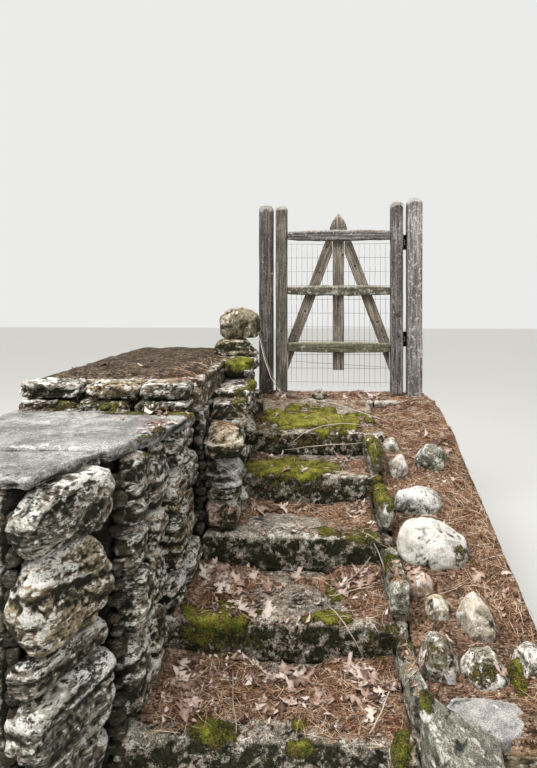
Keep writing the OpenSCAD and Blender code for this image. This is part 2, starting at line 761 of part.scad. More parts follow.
// Stub tenons of one rail at both ends
module tenons(z, play = 0) {
    translate([bay_left - tenon_l - play, tenon_y - play, z - tenon_h / 2 - play])
        cube([bay_right - bay_left + 2 * tenon_l + 2 * play, tenon_t + 2 * play, tenon_h + 2 * play]);
}
module stile(x, h) {
    color(old_timber) difference() {
        translate([x, leaf_y, leaf_foot]) timber(stile_w, h, 24);
        for (z = [bottom_rail_z, middle_rail_z, top_rail_z]) tenons(sill_z + z, 0.3);
    }
}
module latch_stile() { stile(leaf_left, latch_stile_h); }
module hinge_stile() { stile(bay_right, hinge_stile_h); }

// Split rail: thick in the middle, thinner towards the stiles, with a wavy lower side
module rail(z, sway, seed) {
    n = 10;
    span = bay_right - bay_left;
    r = rands(-1, 1, 2 * n + 2, seed);
    function half_h(t) = rail_h / 2 - rail_taper * (1 - sin(180 * t));
    upper = [for (i = [n : -1 : 0]) [span * i / n, half_h(i / n) + sway * 0.5 * r[i]]];
    lower = [for (i = [0 : n]) [span * i / n, -half_h(i / n) + sway * r[n + 1 + i]]];
    color(old_timber) union() {
        translate([bay_left, rail_y + rail_t, sill_z + z]) rotate([90, 0, 0])
            linear_extrude(rail_t) polygon(concat(lower, upper));
        tenons(sill_z + z);
    }
}
module top_rail() { rail(top_rail_z, 3, 801); }
module middle_rail() { rail(middle_rail_z, 3, 802); }
module bottom_rail() { rail(bottom_rail_z, 2, 803); }

// Board with an outline in the plane of the gate, on the far side of the rails
module board() {
    color(old_timber) translate([0, leaf_back, sill_z]) rotate([90, 0, 0]) linear_extrude(board_t) children();
}
module centre_picket() {
    wide = picket_tip - spear_h;
    half = [
        [picket_w / 2, picket_foot], [picket_w / 2, shoulder_z], [spear_w / 2, wide],
        [spear_w * 0.37, wide + spear_h * 0.45], [spear_w * 0.13, wide + spear_h * 0.86], [0, picket_tip]
    ];
    outline = [for (p = half) p, for (i = [len(half) - 2 : -1 : 0]) [-half[i][0], half[i][1]]];
    board() translate([picket_x, 0]) polygon(outline);
}

// Brace that leans from beside the picket down to a stile; side is -1 or 1
module brace(side) {
    edge = [brace_reach - picket_w / 2, picket_x - bay_left];
    slope = tan(brace_lean);
    half = brace_w / 2 / cos(brace_lean);
    top = shoulder_z - 2;
    out_at_top = brace_reach + half - slope * (top - middle_rail_z);
    inner_meet = middle_rail_z + (brace_reach - half - picket_w / 2) / slope;
    outer_meet = middle_rail_z - (edge[1] - brace_reach - half) / slope;
    tip = middle_rail_z - (edge[1] - brace_reach + half) / slope;
    outline = [
        [picket_w / 2, top], [picket_w / 2, inner_meet], [edge[1], tip],
        [edge[1], outer_meet], [out_at_top, top]
    ];
    board() translate([picket_x, 0]) polygon([for (p = outline) [side * p[0], p[1]]]);
}
module left_brace() { brace(-1); }
module right_brace() { brace(1); }

// Welded mesh on the far side of the leaf, with one sagging wire near its foot
module wire_mesh() {
    reach = floor((leaf_w / 2 - mesh_margin) / wire_x) * wire_x;
    rows = floor((mesh_top - mesh_foot) / wire_z);
    weld = wire * 0.25;
    color("#4a4a48") translate([picket_x, leaf_back, sill_z]) union() {
        for (x = [-reach : wire_x : reach + 0.1])
            translate([x - wire / 2, 0, mesh_foot]) cube([wire, wire, mesh_top + wire - mesh_foot]);
        for (k = [0 : rows])
            translate([-reach - wire, wire - weld, mesh_top - k * wire_z - wire / 2])
                cube([2 * (reach + wire), wire, wire]);
        translate([0, wire - weld, sag_z]) rotate([0, sag_tilt, 0]) translate([-reach, 0, 0])
            cube([2 * reach, wire, wire]);
    }
}

// One hinge knuckle with its web; side is -1 towards the leaf or 1 towards the post
module knuckle(z0, z1, side) {
    translate([pin_x, leaf_back, z0]) cylinder(r = knuckle_r, h = z1 - z0);
    translate([side < 0 ? leaf_right + plate_t / 2 : pin_x, leaf_back - plate_t, z0])
        cube([pin_gap - plate_t / 2, plate_t, z1 - z0]);
}
function knuckle_z(z) = [for (k = [0 : 3]) sill_z + z - hinge_h / 2 + k * hinge_h / 3];

module post_hinge_leaves() {
    color(iron) for (z = [lower_hinge_z, upper_hinge_z]) {
        q = knuckle_z(z);
        translate([right_post_x - plate_t, leaf_back - plate_w, q[0]]) cube([plate_t, plate_w, hinge_h]);
        knuckle(q[0], q[1] - knuckle_gap, 1);
        knuckle(q[2] + knuckle_gap, q[3], 1);
        translate([pin_x, leaf_back, q[0]]) cylinder(r = pin_r, h = hinge_h);
    }
}
module gate_hinge_leaves() {
    color(iron) for (z = [lower_hinge_z, upper_hinge_z]) {
        q = knuckle_z(z);
        difference() {
            union() {
                translate([leaf_right, leaf_back - plate_w, q[0]]) cube([plate_t, plate_w, hinge_h]);
                knuckle(q[1], q[2], -1);
            }
            translate([pin_x, leaf_back, q[1] - over])
                cylinder(r = pin_r + pin_play, h = q[2] - q[1] + 2 * over);
        }
    }
}

step_1();
step_2();
step_3();
step_4();
step_5();
landing_stone();
gate_sill_flags();
stair_core();
landing_core();
left_wall_core();
left_wall_lower_face();
left_wall_upper_face();
corner_cobble();
corner_shims();
corner_block();
corner_cap();
terrace_slab();
terrace_front_slab();
upper_tier_core();
upper_tier_stones();
post_boulder_low();
post_boulder_top();
right_wall_bed();
kerb_stones();
angular_block();
flat_grey_slab();
bench_boulders();
slope_cobbles();
pale_boulder();
lichen_boulder();
upper_kerb_boulders();
moss_cobble();
landing_cobble();
left_gate_post();
right_gate_post();
post_hinge_leaves();
latch_stile();
hinge_stile();
top_rail();
middle_rail();
bottom_rail();
centre_picket();
left_brace();
right_brace();
wire_mesh();
gate_hinge_leaves();
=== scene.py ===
# %% [markdown]
# # A stepped stone passage with a timber gate
# Five rough granite slabs climb between a dry-laid terrace wall and a low wall of boulders to a
# gate of split cedar. The solids already say where each stone and board lies. This lesson gives
# them their looks: broken stone, lichen, moss, pine litter and old silvery wood.

# %% Load the frame
import math
from functools import partial

import bpy
import numpy as np
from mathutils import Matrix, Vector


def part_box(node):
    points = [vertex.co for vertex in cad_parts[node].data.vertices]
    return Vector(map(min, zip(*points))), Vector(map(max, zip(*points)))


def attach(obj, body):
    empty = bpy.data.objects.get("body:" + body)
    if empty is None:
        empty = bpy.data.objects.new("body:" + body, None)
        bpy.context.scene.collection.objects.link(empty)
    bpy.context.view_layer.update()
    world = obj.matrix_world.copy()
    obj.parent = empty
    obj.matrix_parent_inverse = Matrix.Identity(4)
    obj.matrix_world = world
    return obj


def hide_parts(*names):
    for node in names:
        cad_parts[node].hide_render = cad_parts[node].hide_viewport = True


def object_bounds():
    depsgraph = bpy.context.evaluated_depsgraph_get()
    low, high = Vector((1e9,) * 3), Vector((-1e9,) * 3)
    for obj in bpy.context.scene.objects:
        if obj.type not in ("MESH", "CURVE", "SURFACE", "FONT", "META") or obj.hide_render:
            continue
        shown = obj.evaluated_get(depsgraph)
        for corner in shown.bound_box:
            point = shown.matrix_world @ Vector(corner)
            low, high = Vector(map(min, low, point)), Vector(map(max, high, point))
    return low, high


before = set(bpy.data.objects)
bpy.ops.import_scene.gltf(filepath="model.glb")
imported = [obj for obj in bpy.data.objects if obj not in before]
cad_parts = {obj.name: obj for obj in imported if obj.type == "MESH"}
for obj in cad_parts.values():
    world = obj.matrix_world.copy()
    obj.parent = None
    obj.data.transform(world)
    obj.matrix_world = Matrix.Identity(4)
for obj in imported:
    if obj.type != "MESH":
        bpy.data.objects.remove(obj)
cad_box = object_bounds()
LOW, HIGH = (np.array(corner) for corner in cad_box)
print("nodes", len(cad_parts), "box", LOW.round(3), HIGH.round(3))

# %% [markdown]
# ## Camera
# The photograph was taken from eye height, 1.6 m above the foot of the steps, with the camera held
# level. Verticals stay upright in it, so the lens is shifted down and not tilted down. All of its
# numbers come from the level line of sight and the width of the steps in pixels.

# %% Camera
FRAME_H = 768
FOCAL_PX = 560
HORIZON_PX = 300
EYE = (0.15, -1.85, 1.6)
YAW = math.radians(3.7)
SENSOR_MM = 36


def placed(name, data):
    """A new object in the scene that shows a mesh, a lamp or a camera."""
    made = bpy.data.objects.new(name, data)
    bpy.context.scene.collection.objects.link(made)
    return made


camera_data = bpy.data.cameras.new("camera")
camera_data.sensor_width = SENSOR_MM
camera_data.lens = FOCAL_PX / FRAME_H * SENSOR_MM
camera_data.shift_y = (HORIZON_PX - FRAME_H / 2) / FRAME_H
camera = placed("camera", camera_data)
camera.location = EYE
camera.rotation_euler = (math.pi / 2, 0, YAW)
bpy.context.scene.camera = camera

# %% [markdown]
# ## Light and stage
# An overcast sky lights everything softly from above. The world gives most of the light, and one
# large lamp, high on the left, gives the stones a lit and a shaded side. The floor is pale and
# takes the shadow.

# %% Colours and nodes
def linear(code):
    """sRGB hex to linear: c / 12.92 for a dark channel, ((c + 0.055) / 1.055) ** 2.4 for others."""
    srgb = np.array([int(code[i:i + 2], 16) for i in (1, 3, 5)]) / 255
    bright = ((srgb + 0.055) / 1.055) ** 2.4
    return (*np.where(srgb <= 0.04045, srgb / 12.92, bright), 1.0)


def fill(socket, value):
    """Fills an input socket: another socket is linked to it, and a hex colour is made linear."""
    if isinstance(value, bpy.types.NodeSocket):
        socket.id_data.links.new(value, socket)
    else:
        socket.default_value = linear(value) if isinstance(value, str) else value


def add_node(tree, kind, *values, out=0, stops=None, **settings):
    """Adds one shader node and gives one of its outputs.

    Values fill its sockets in order. A setting fills the socket of its name, or else a property.
    size, a pattern's width in metres, sets Scale to 1 / size. stops holds the places and the hex
    colours of a colour ramp."""
    node = tree.nodes.new("ShaderNode" + kind)
    if "size" in settings:
        settings["scale"] = 1 / settings.pop("size")
    for key, value in settings.items():
        if key.title() in node.inputs:
            fill(node.inputs[key.title()], value)
        else:
            setattr(node, key, value)
    for socket, value in zip(node.inputs, values):
        fill(socket, value)
    if stops:
        elements = node.color_ramp.elements
        while len(elements) < len(stops[0]):
            elements.new(0.5)
        for element, place, code in zip(elements, *stops):
            element.position = place
            element.color = linear(code)
    return node.outputs[out]


def new_material(name):
    """An empty material, and the function that adds a node to it."""
    material = bpy.data.materials.new(name)
    material.use_nodes = True
    return material, partial(add_node, material.node_tree)


def painted(material, inputs):
    """The material, once the sockets of its own shader are filled."""
    for name, value in inputs.items():
        fill(material.node_tree.nodes["Principled BSDF"].inputs[name], value)
    return material


# %% Stage
FLOOR_REACH = 30

world = bpy.data.worlds.new("overcast")
world.use_nodes = True
background = world.node_tree.nodes["Background"]
fill(background.inputs["Color"], "#f4f4f2")
fill(background.inputs["Strength"], 0.92)
bpy.context.scene.world = world

lamp_data = bpy.data.lights.new("sky_window", "AREA")
lamp_data.shape = "RECTANGLE"
lamp_data.size, lamp_data.size_y = 5, 4
lamp_data.energy = 430
lamp = placed("sky_window", lamp_data)
lamp.location = (-2.2, -1.2, 5.2)
lamp.rotation_euler = (math.radians(14), math.radians(-25), 0)

floor_mesh = bpy.data.meshes.new("floor")
floor_corners = [(x * FLOOR_REACH, y * FLOOR_REACH, 0) for y in (-1, 1) for x in (-1, 1)]
floor_mesh.from_pydata(floor_corners, [], [(0, 1, 3, 2)])
floor = placed("floor", floor_mesh)
# Matt pale paint: it takes the shadow and throws no gloss back.
paint, _ = new_material("pale_floor_paint")
floor_mesh.materials.append(painted(paint, {"Base Color": "#e3e2de", "Roughness": 0.9}))
bpy.context.scene.view_settings.view_transform = "Standard"

# %% [markdown]
# ## Noise and grids
# Stone is made rough by numbers that change smoothly from place to place. Random values sit on a
# cubic lattice and are eased in between; several such layers, each half the size and height of the
# last, look like broken rock. Every shape below is a whole array of points, never a loop over them.

# %% Noise
LATTICE = np.random.default_rng(11).random((64, 64, 64)) * 2 - 1


def noise(points, size, seed=0):
    """Value noise from -1 to 1: lattice values a given size apart, eased with 3t^2 - 2t^3."""
    place = points / size + 17.37 * seed
    cell = np.floor(place).astype(int)
    t = place - cell
    t = t * t * (3 - 2 * t)
    total = np.zeros(len(points))
    for corner in np.ndindex(2, 2, 2):
        i, j, k = ((cell + corner) % len(LATTICE)).T
        total += np.prod(np.where(corner, t, 1 - t), axis=1) * LATTICE[i, j, k]
    return total


def rough(points, size, layers=3, seed=0):
    """Layers of noise, each half the size and half the height of the one before."""
    return sum(noise(points, size / 2 ** k, seed + k) / 2 ** k for k in range(layers))


def eased(t):
    """From 0 to 1 with level ends: 3t^2 - 2t^3 of t kept between 0 and 1."""
    t = np.clip(t, 0, 1)
    return t * t * (3 - 2 * t)


def hashed(k, salt):
    """A random number from -1 to 1 for each whole number k: the far decimals of a sine."""
    return 2 * (np.sin(k * 127.1 + salt * 311.7 + 0.5) * 43758.5453 % 1) - 1


# %% Meshes
MADE = []


def read(items, name, width):
    """One property of a mesh's vertices or loops as an array."""
    values = np.empty(len(items) * width, np.float32 if width == 3 else np.int32)
    items.foreach_get(name, values)
    return values.reshape(-1, width) if width > 1 else values


def mesh_piece(name, points, faces, material, slot, body="root", marks=None, replaces=None):
    """A finished piece on a body: a smooth mesh with marks, each a value a vertex or one for all.

    Its points are kept inside the box of the solids, so that nothing grows past the real size."""
    mesh = bpy.data.meshes.new(name)
    mesh.from_pydata(np.clip(points, LOW, HIGH), [], faces)
    for mark, values in (marks or {}).items():
        values = np.broadcast_to(values, (len(points), *np.shape(values)[1:])).astype(np.float32)
        kind, key = ("FLOAT_VECTOR", "vector") if values.ndim == 2 else ("FLOAT", "value")
        mesh.attributes.new(mark, kind, "POINT").data.foreach_set(key, values.ravel())
    mesh.shade_smooth()
    mesh.materials.append(material)
    made = placed(name, mesh)
    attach(made, body)
    if replaces:
        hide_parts(replaces)
    mesh.calc_loop_triangles()
    print(f"{name}: {len(mesh.loop_triangles)} triangles")
    MADE.append(made)
    return made


def unit(vectors):
    """Vectors of length 1 that point the same way; a zero vector stays zero."""
    return vectors / np.maximum(np.linalg.norm(vectors, axis=-1, keepdims=True), 1e-12)


def gathered(index, vectors, count):
    """The sum of the vectors that go to each of count places."""
    return np.stack([np.bincount(index, column, count) for column in vectors.T], 1)


def normals_of(points, quads):
    """Outward unit normals at the vertices: each quad adds the cross product of its diagonals."""
    a, b, c, d = (points[quads[:, k]] for k in range(4))
    return unit(gathered(quads.ravel(), np.repeat(np.cross(c - a, d - b), 4, 0), len(points)))


def neighbours_mean(points, quads):
    """The mean place of each vertex's neighbours along the edges of its quads."""
    ends = np.concatenate([quads[:, [k, (k + 1) % 4]] for k in range(4)])
    start, stop = np.concatenate([ends, ends[:, ::-1]]).T
    return gathered(start, points[stop], len(points)) / np.bincount(start, minlength=len(points))[:, None]


def relaxed(points, quads, rounds):
    """Edges worn round: in each round every vertex goes halfway to the mean of its neighbours."""
    for _ in range(rounds):
        points = (points + neighbours_mean(points, quads)) / 2
    return points


def grid_quads(rows, columns, wrap=False):
    """Quads of a grid of points stored row by row; wrap joins each row's last point to its first."""
    i, j = np.meshgrid(np.arange(rows - 1), np.arange(columns - (not wrap)), indexing="ij")
    a, b = (i * columns + j).ravel(), (i * columns + (j + 1) % columns).ravel()
    return np.stack([a, b, b + columns, a + columns], 1)


def capped(count, stations, sides):
    """Faces of some closed tubes stored one after another: walls of quads and a face at each end."""
    first = (np.arange(count) * stations * sides)[:, None, None]
    ends = np.stack([np.arange(sides)[::-1], (stations - 1) * sides + np.arange(sides)])
    return ((grid_quads(stations, sides, wrap=True) + first).reshape(-1, 4).tolist()
            + (ends + first).reshape(-1, sides).tolist())


# %% [markdown]
# ## From a plain solid to a weathered stone
# A CAD stone has a few dozen flat facets. A copy of it is covered with an even grid of small quads
# by a voxel remesh. Split faces are pressed flat, edges are worn, and then every vertex moves along
# its normal: large lumps, thin ledges where the rock splits in layers, small chips, and a cushion of
# moss wherever moss grows. The moss has thickness, so it is part of the shape and not only a colour.

# %% Solids of a node
def grouped(count, faces):
    """A label for each vertex, one label for all that faces join.

    Every vertex takes the lowest label in its faces, again and again, until nothing changes."""
    label = np.arange(count)
    while True:
        lowest = label.copy()
        np.minimum.at(lowest, faces.ravel(), np.repeat(label[faces].min(1), faces.shape[1]))
        if (lowest == label).all():
            return label
        label = lowest


def solids_of(node):
    """Each solid of a CAD node as points and triangles; corners at one place are merged."""
    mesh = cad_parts[node].data
    places, index = np.unique(np.round(read(mesh.vertices, "co", 3), 5), axis=0, return_inverse=True)
    triangles = index.ravel()[read(mesh.loops, "vertex_index", 1).reshape(-1, 3)]
    label = grouped(len(places), triangles)
    for value in np.unique(label):
        keep = label == value
        order = np.cumsum(keep) - 1
        yield places[keep], order[triangles[keep[triangles[:, 0]]]]


def remeshed(points, triangles, voxel):
    """An even skin of quads over one closed solid, by Blender's voxel remesh."""
    mesh = bpy.data.meshes.new("solid")
    mesh.from_pydata(points, [], triangles)
    solid = placed("solid", mesh)
    skin = solid.modifiers.new("voxels", "REMESH")
    skin.mode = "VOXEL"
    skin.voxel_size = voxel
    result = solid.evaluated_get(bpy.context.evaluated_depsgraph_get()).to_mesh()
    points = read(result.vertices, "co", 3).astype(float)
    quads = read(result.loops, "vertex_index", 1).reshape(-1, 4)
    bpy.data.objects.remove(solid)
    bpy.data.meshes.remove(mesh)
    return points, quads


def split_faces(points, cuts, draws, keep=0.78):
    """Flat broken faces: what stands past a random plane is pressed back onto it.

    The plane lies at a share of the stone's reach, from keep to 0.96 of it."""
    middle = (points.min(0) + points.max(0)) / 2
    for _ in range(cuts):
        axis = draws.normal(size=3)
        axis /= np.linalg.norm(axis)
        along = (points - middle) @ axis
        past = along - draws.uniform(keep, 0.96) * along.max()
        points = points - np.maximum(past, 0)[:, None] * axis
    return points


# %% [markdown]
# ### Where moss and soil lie
# Moss likes the damp places: the sides of the treads, the upper two slabs, the shaded risers and
# the edges of the terrace. Each patch is an ellipsoid read from the photograph and written in
# metres: its middle, its half sizes and how thick it grows.

# %% Moss patches
# Each patch: its middle, its half sizes and how thick it grows.
MOSS = [
    ((-0.17, 0.01, 0.15), (0.10, 0.07, 0.05), 0.7), ((0.135, 0.065, 0.16), (0.035, 0.032, 0.03), 1.3),
    ((0.14, -0.02, 0.12), (0.05, 0.04, 0.05), 0.9), ((-0.20, 0.41, 0.33), (0.14, 0.09, 0.05), 1.2),
    ((-0.20, 0.37, 0.25), (0.16, 0.05, 0.08), 0.75), ((0.25, 0.42, 0.33), (0.11, 0.05, 0.03), 1.1),
    ((0.30, 0.61, 0.33), (0.07, 0.09, 0.03), 0.8), ((0.45, 0.38, 0.27), (0.10, 0.06, 0.08), 0.6),
    ((0.26, 0.85, 0.50), (0.05, 0.08, 0.03), 0.9), ((0.42, 0.83, 0.47), (0.12, 0.10, 0.06), 0.6),
    ((0.07, 1.30, 0.67), (0.27, 0.19, 0.05), 1.2), ((0.10, 1.18, 0.61), (0.30, 0.05, 0.07), 0.65),
    ((0.20, 1.72, 0.85), (0.36, 0.20, 0.10), 1.4), ((0.25, 1.53, 0.75), (0.35, 0.05, 0.07), 0.6),
    ((0.53, 1.00, 0.62), (0.07, 0.20, 0.10), 0.9), ((0.52, 0.62, 0.42), (0.05, 0.12, 0.08), 0.7),
    ((0.44, -0.18, 0.20), (0.05, 0.08, 0.11), 0.9), ((0.505, -0.15, 0.42), (0.03, 0.09, 0.05), 0.7),
    ((0.88, 0.13, 0.30), (0.03, 0.07, 0.07), 0.9), ((-0.38, 0.42, 0.60), (0.04, 0.10, 0.06), 0.5),
    ((0.60, 0.16, 0.34), (0.06, 0.06, 0.05), 0.45), ((0.77, 0.11, 0.33), (0.07, 0.05, 0.04), 0.5),
    ((0.55, 0.55, 0.44), (0.05, 0.08, 0.05), 0.6), ((0.84, 0.66, 0.47), (0.08, 0.06, 0.05), 0.55),
    ((0.54, 0.30, 0.27), (0.04, 0.05, 0.05), 0.5),
    ((-0.37, 0.06, 1.11), (0.09, 0.17, 0.05), 0.75), ((-0.44, 0.50, 1.11), (0.30, 0.05, 0.04), 0.6),
    ((-0.75, 0.58, 1.12), (0.40, 0.04, 0.04), 0.55), ((-0.19, 1.10, 1.08), (0.05, 0.24, 0.05), 0.6),
    ((-0.23, 1.58, 1.24), (0.10, 0.22, 0.08), 1.1), ((-0.20, 0.90, 0.72), (0.10, 0.12, 0.05), 0.4),
    ((-0.16, 1.45, 1.13), (0.035, 0.25, 0.07), 0.8), ((0.74, 0.76, 0.42), (0.14, 0.08, 0.05), 0.7),
    ((0.53, 1.33, 0.77), (0.07, 0.22, 0.10), 0.75),
]


def patches(points):
    """The strength of the moss patches at each point; noise makes their outlines ragged."""
    ragged = 0.45 * rough(points, 0.06, 4, 61)
    moss = np.zeros(len(points))
    for middle, half, strength in MOSS:
        reach = np.linalg.norm((points - middle) / half, axis=1) + ragged
        moss = np.maximum(moss, strength * eased((1.3 - reach) / 0.7))
    return moss


def growth(points, normals):
    """How much moss grows at each point, from 0 to about 1.2: thinner where a face looks down."""
    upward = 0.45 + 0.55 * np.clip(normals[:, 2] + 0.35, 0, 1)
    return patches(points) * upward


# %% Weathered stones
# Each special stone: a place near its middle, how near, and its shade.
FEATURE_TINTS = [
    ((-0.40, 0.42, 0.72), 0.13, 0.92), ((-0.42, 0.55, 0.42), 0.16, 0.05), ((-0.40, 0.16, 0.36), 0.13, 0.30),
    ((-0.42, 0.20, 0.92), 0.13, 0.60), ((-0.40, 0.62, 0.95), 0.12, 0.12),
    ((0.63, 0.21, 0.31), 0.05, 0.45), ((0.78, 0.16, 0.30), 0.05, 0.25), ((0.95, 0.18, 0.31), 0.06, 1.00),
    ((0.63, 0.56, 0.39), 0.05, 0.00), ((0.69, 0.45, 0.35), 0.05, 0.50), ((0.81, 0.39, 0.35), 0.05, 1.00),
    ((0.66, 1.27, 0.67), 0.05, 1.00), ((0.66, 1.48, 0.74), 0.05, 0.45), ((0.86, 1.31, 0.70), 0.05, 0.05),
    ((-0.20, 1.85, 1.45), 0.25, 0.00),
]
SPLAY_Y = -0.02


def stone_tint(middle, drawn):
    """A stone's own shade from 0 to 1: drawn, or set where the photograph shows a special stone."""
    for place, reach, tint in FEATURE_TINTS:
        if np.linalg.norm(middle - place) < reach:
            return tint
    return drawn


def ridges(points, quads, normals, voxel):
    """How far each vertex stands out from the mean of its neighbours, in voxels."""
    return ((points - neighbours_mean(points, quads)) * normals).sum(1) / voxel


def weathered(name, node, material, slot, voxel, seed, lumps=(0.07, 0.005), chips=(0.022, 0.0025), cuts=0,
              keep=0.78, ledges=0.0, worn=2, cushion=0.007, damp_and_shade=0.5, lit=0.2, joint=0.0):
    """Weathered copies of all solids of a CAD node, as one piece that replaces it.

    lumps and chips are (size, height) of the large and the small roughness, cuts is the number of
    broken faces a stone, and ledges is the height of the layers that the rock splits in. lit is how
    much painted light makes a stone's top paler and more lichened and its underside darker. joint is
    how much painted shade and dirt darken it where it looks at its neighbours in the left wall, and
    not out to the steps or past the splay."""
    skins, first = [], 0
    draws = np.random.default_rng(900 + seed)
    for points, triangles in solids_of(node):
        points, quads = remeshed(points, triangles, voxel)
        tint = stone_tint(points.mean(0), draws.random())
        points = relaxed(split_faces(points, cuts, draws, keep), quads, worn)
        skins.append((points, quads + first, np.full(len(points), tint)))
        first += len(points)
    points, quads, tint = (np.concatenate(parts) for parts in zip(*skins))

    normals = normals_of(points, quads)
    shifted = points + 0.4 * tint[:, None]
    height = lumps[1] * rough(shifted, lumps[0], 2, seed) + chips[1] * rough(shifted, chips[0], 3, seed + 5)
    bedding = shifted * [0.12, 0.12, 1] + np.outer(0.3 * (tint - 0.5) * shifted[:, :2].sum(1), [0, 0, 1])
    layers = noise(bedding, 0.023, seed + 9)
    height += ledges * np.sign(layers) * np.sqrt(np.abs(layers)) * np.clip(1.2 - np.abs(normals[:, 2]), 0, 1)
    points = points + height[:, None] * normals
    normals = normals_of(points, quads)
    ridge = ridges(points, quads, normals, voxel)

    moss = growth(points, normals)
    swell = 1 + 0.6 * noise(points, 0.03, 8) + 0.7 * noise(points, 0.012, 9)
    points = points + (cushion * eased(moss * 1.3 - 0.3) * swell)[:, None] * normals
    outward = (normals * np.where(points[:, 1:2] < SPLAY_Y, (0.75, -0.66, 0), (1, 0, 0))).sum(1)
    # Painted shade and dirt where a stone looks at its neighbours: it lowers the relief mark.
    joint_shade = joint * eased((0.45 - outward) / 0.4) * eased((0.9 - normals[:, 2]) / 0.3)
    # In the marks, ridge carries painted light: tops paler by lit, undersides darker. damp is wet patches
    # with painted shade, most on faces that look sideways or down.
    marks = {"tint": tint, "relief": height / (lumps[1] + chips[1] + ledges) - joint_shade, "moss": moss,
             "ridge": np.clip(5 * ridge + lit * normals[:, 2], -1.4, 1.4),
             "damp_and_shade": damp_and_shade * np.clip(0.75 - normals[:, 2], 0, 1),
             "layer": np.where(np.abs(normals[:, 2]) < 0.9, np.abs(layers), 1)}
    return mesh_piece(name, points, quads, material, slot, marks=marks, replaces=node)


# %% [markdown]
# ## Stone finishes
# Weathered fieldstone is never one colour. Its own mineral shows only in part. Over it grow crusts
# of white and grey lichen a few centimetres across, black spots of another lichen, and moss. Each
# layer is a noise of its own real size, cut sharply by a ramp, because a crust has a clear edge.

# %% Colour recipes
# Moss goes from black-green in its depth to yellow at its tips, and dead moss is brown.
MOSS_STOPS = (0.32, 0.42, 0.52, 0.62, 0.76), ("#131508", "#33370f", "#62661b", "#8d8c2f", "#bdb75c")
DEAD_MOSS_STOPS = (0.36, 0.52, 0.66), ("#2c1f12", "#6e4e2f", "#b08c60")


def weighed(add, base, *terms):
    """base plus each (value, weight) term, where a value between 0 and 1 counts from its middle."""
    for value, weight in terms:
        term = add("Math", add("Math", value, 0.5, operation="SUBTRACT"), weight, operation="MULTIPLY")
        base = add("Math", base, term, operation="ADD")
    return base


def coat(add, body, colour, value, low, high, first=0.0, last=1.0, share=None):
    """A coat over a body colour.

    Its cover goes from first to last while value goes from low to high, times its share if any."""
    cover = add("MapRange", value, low, high, first, last)
    if share is not None:
        cover = add("Math", cover, share, operation="MULTIPLY")
    return add("MixRGB", cover, body, colour)


def mossed(add, place, body, grown):
    """Moss over a body colour, how far it covers, and its pile.

    It is soft, dark at its ragged edge and brown where it has died."""
    pile = add("TexNoise", place, size=0.006, detail=5, roughness=0.8)
    edge = add("TexNoise", place, size=0.022, detail=9, roughness=0.75)
    dead = add("TexNoise", place, size=0.022, detail=8, roughness=0.75)
    tufts = add("TexNoise", place, size=0.05, detail=5, roughness=0.6)
    depth = weighed(add, add("MapRange", grown, 0.2, 1.3, 0.36, 0.60), (pile, 1.1), (tufts, 0.6))
    green = add("ValToRGB", depth, stops=MOSS_STOPS)
    green = coat(add, green, add("ValToRGB", pile, stops=DEAD_MOSS_STOPS), dead, 0.52, 0.60, 0, 0.85)
    cover = add("MapRange", weighed(add, grown, (edge, 2.0)), 0.36, 0.46)
    return add("MixRGB", cover, body, green), cover, pile


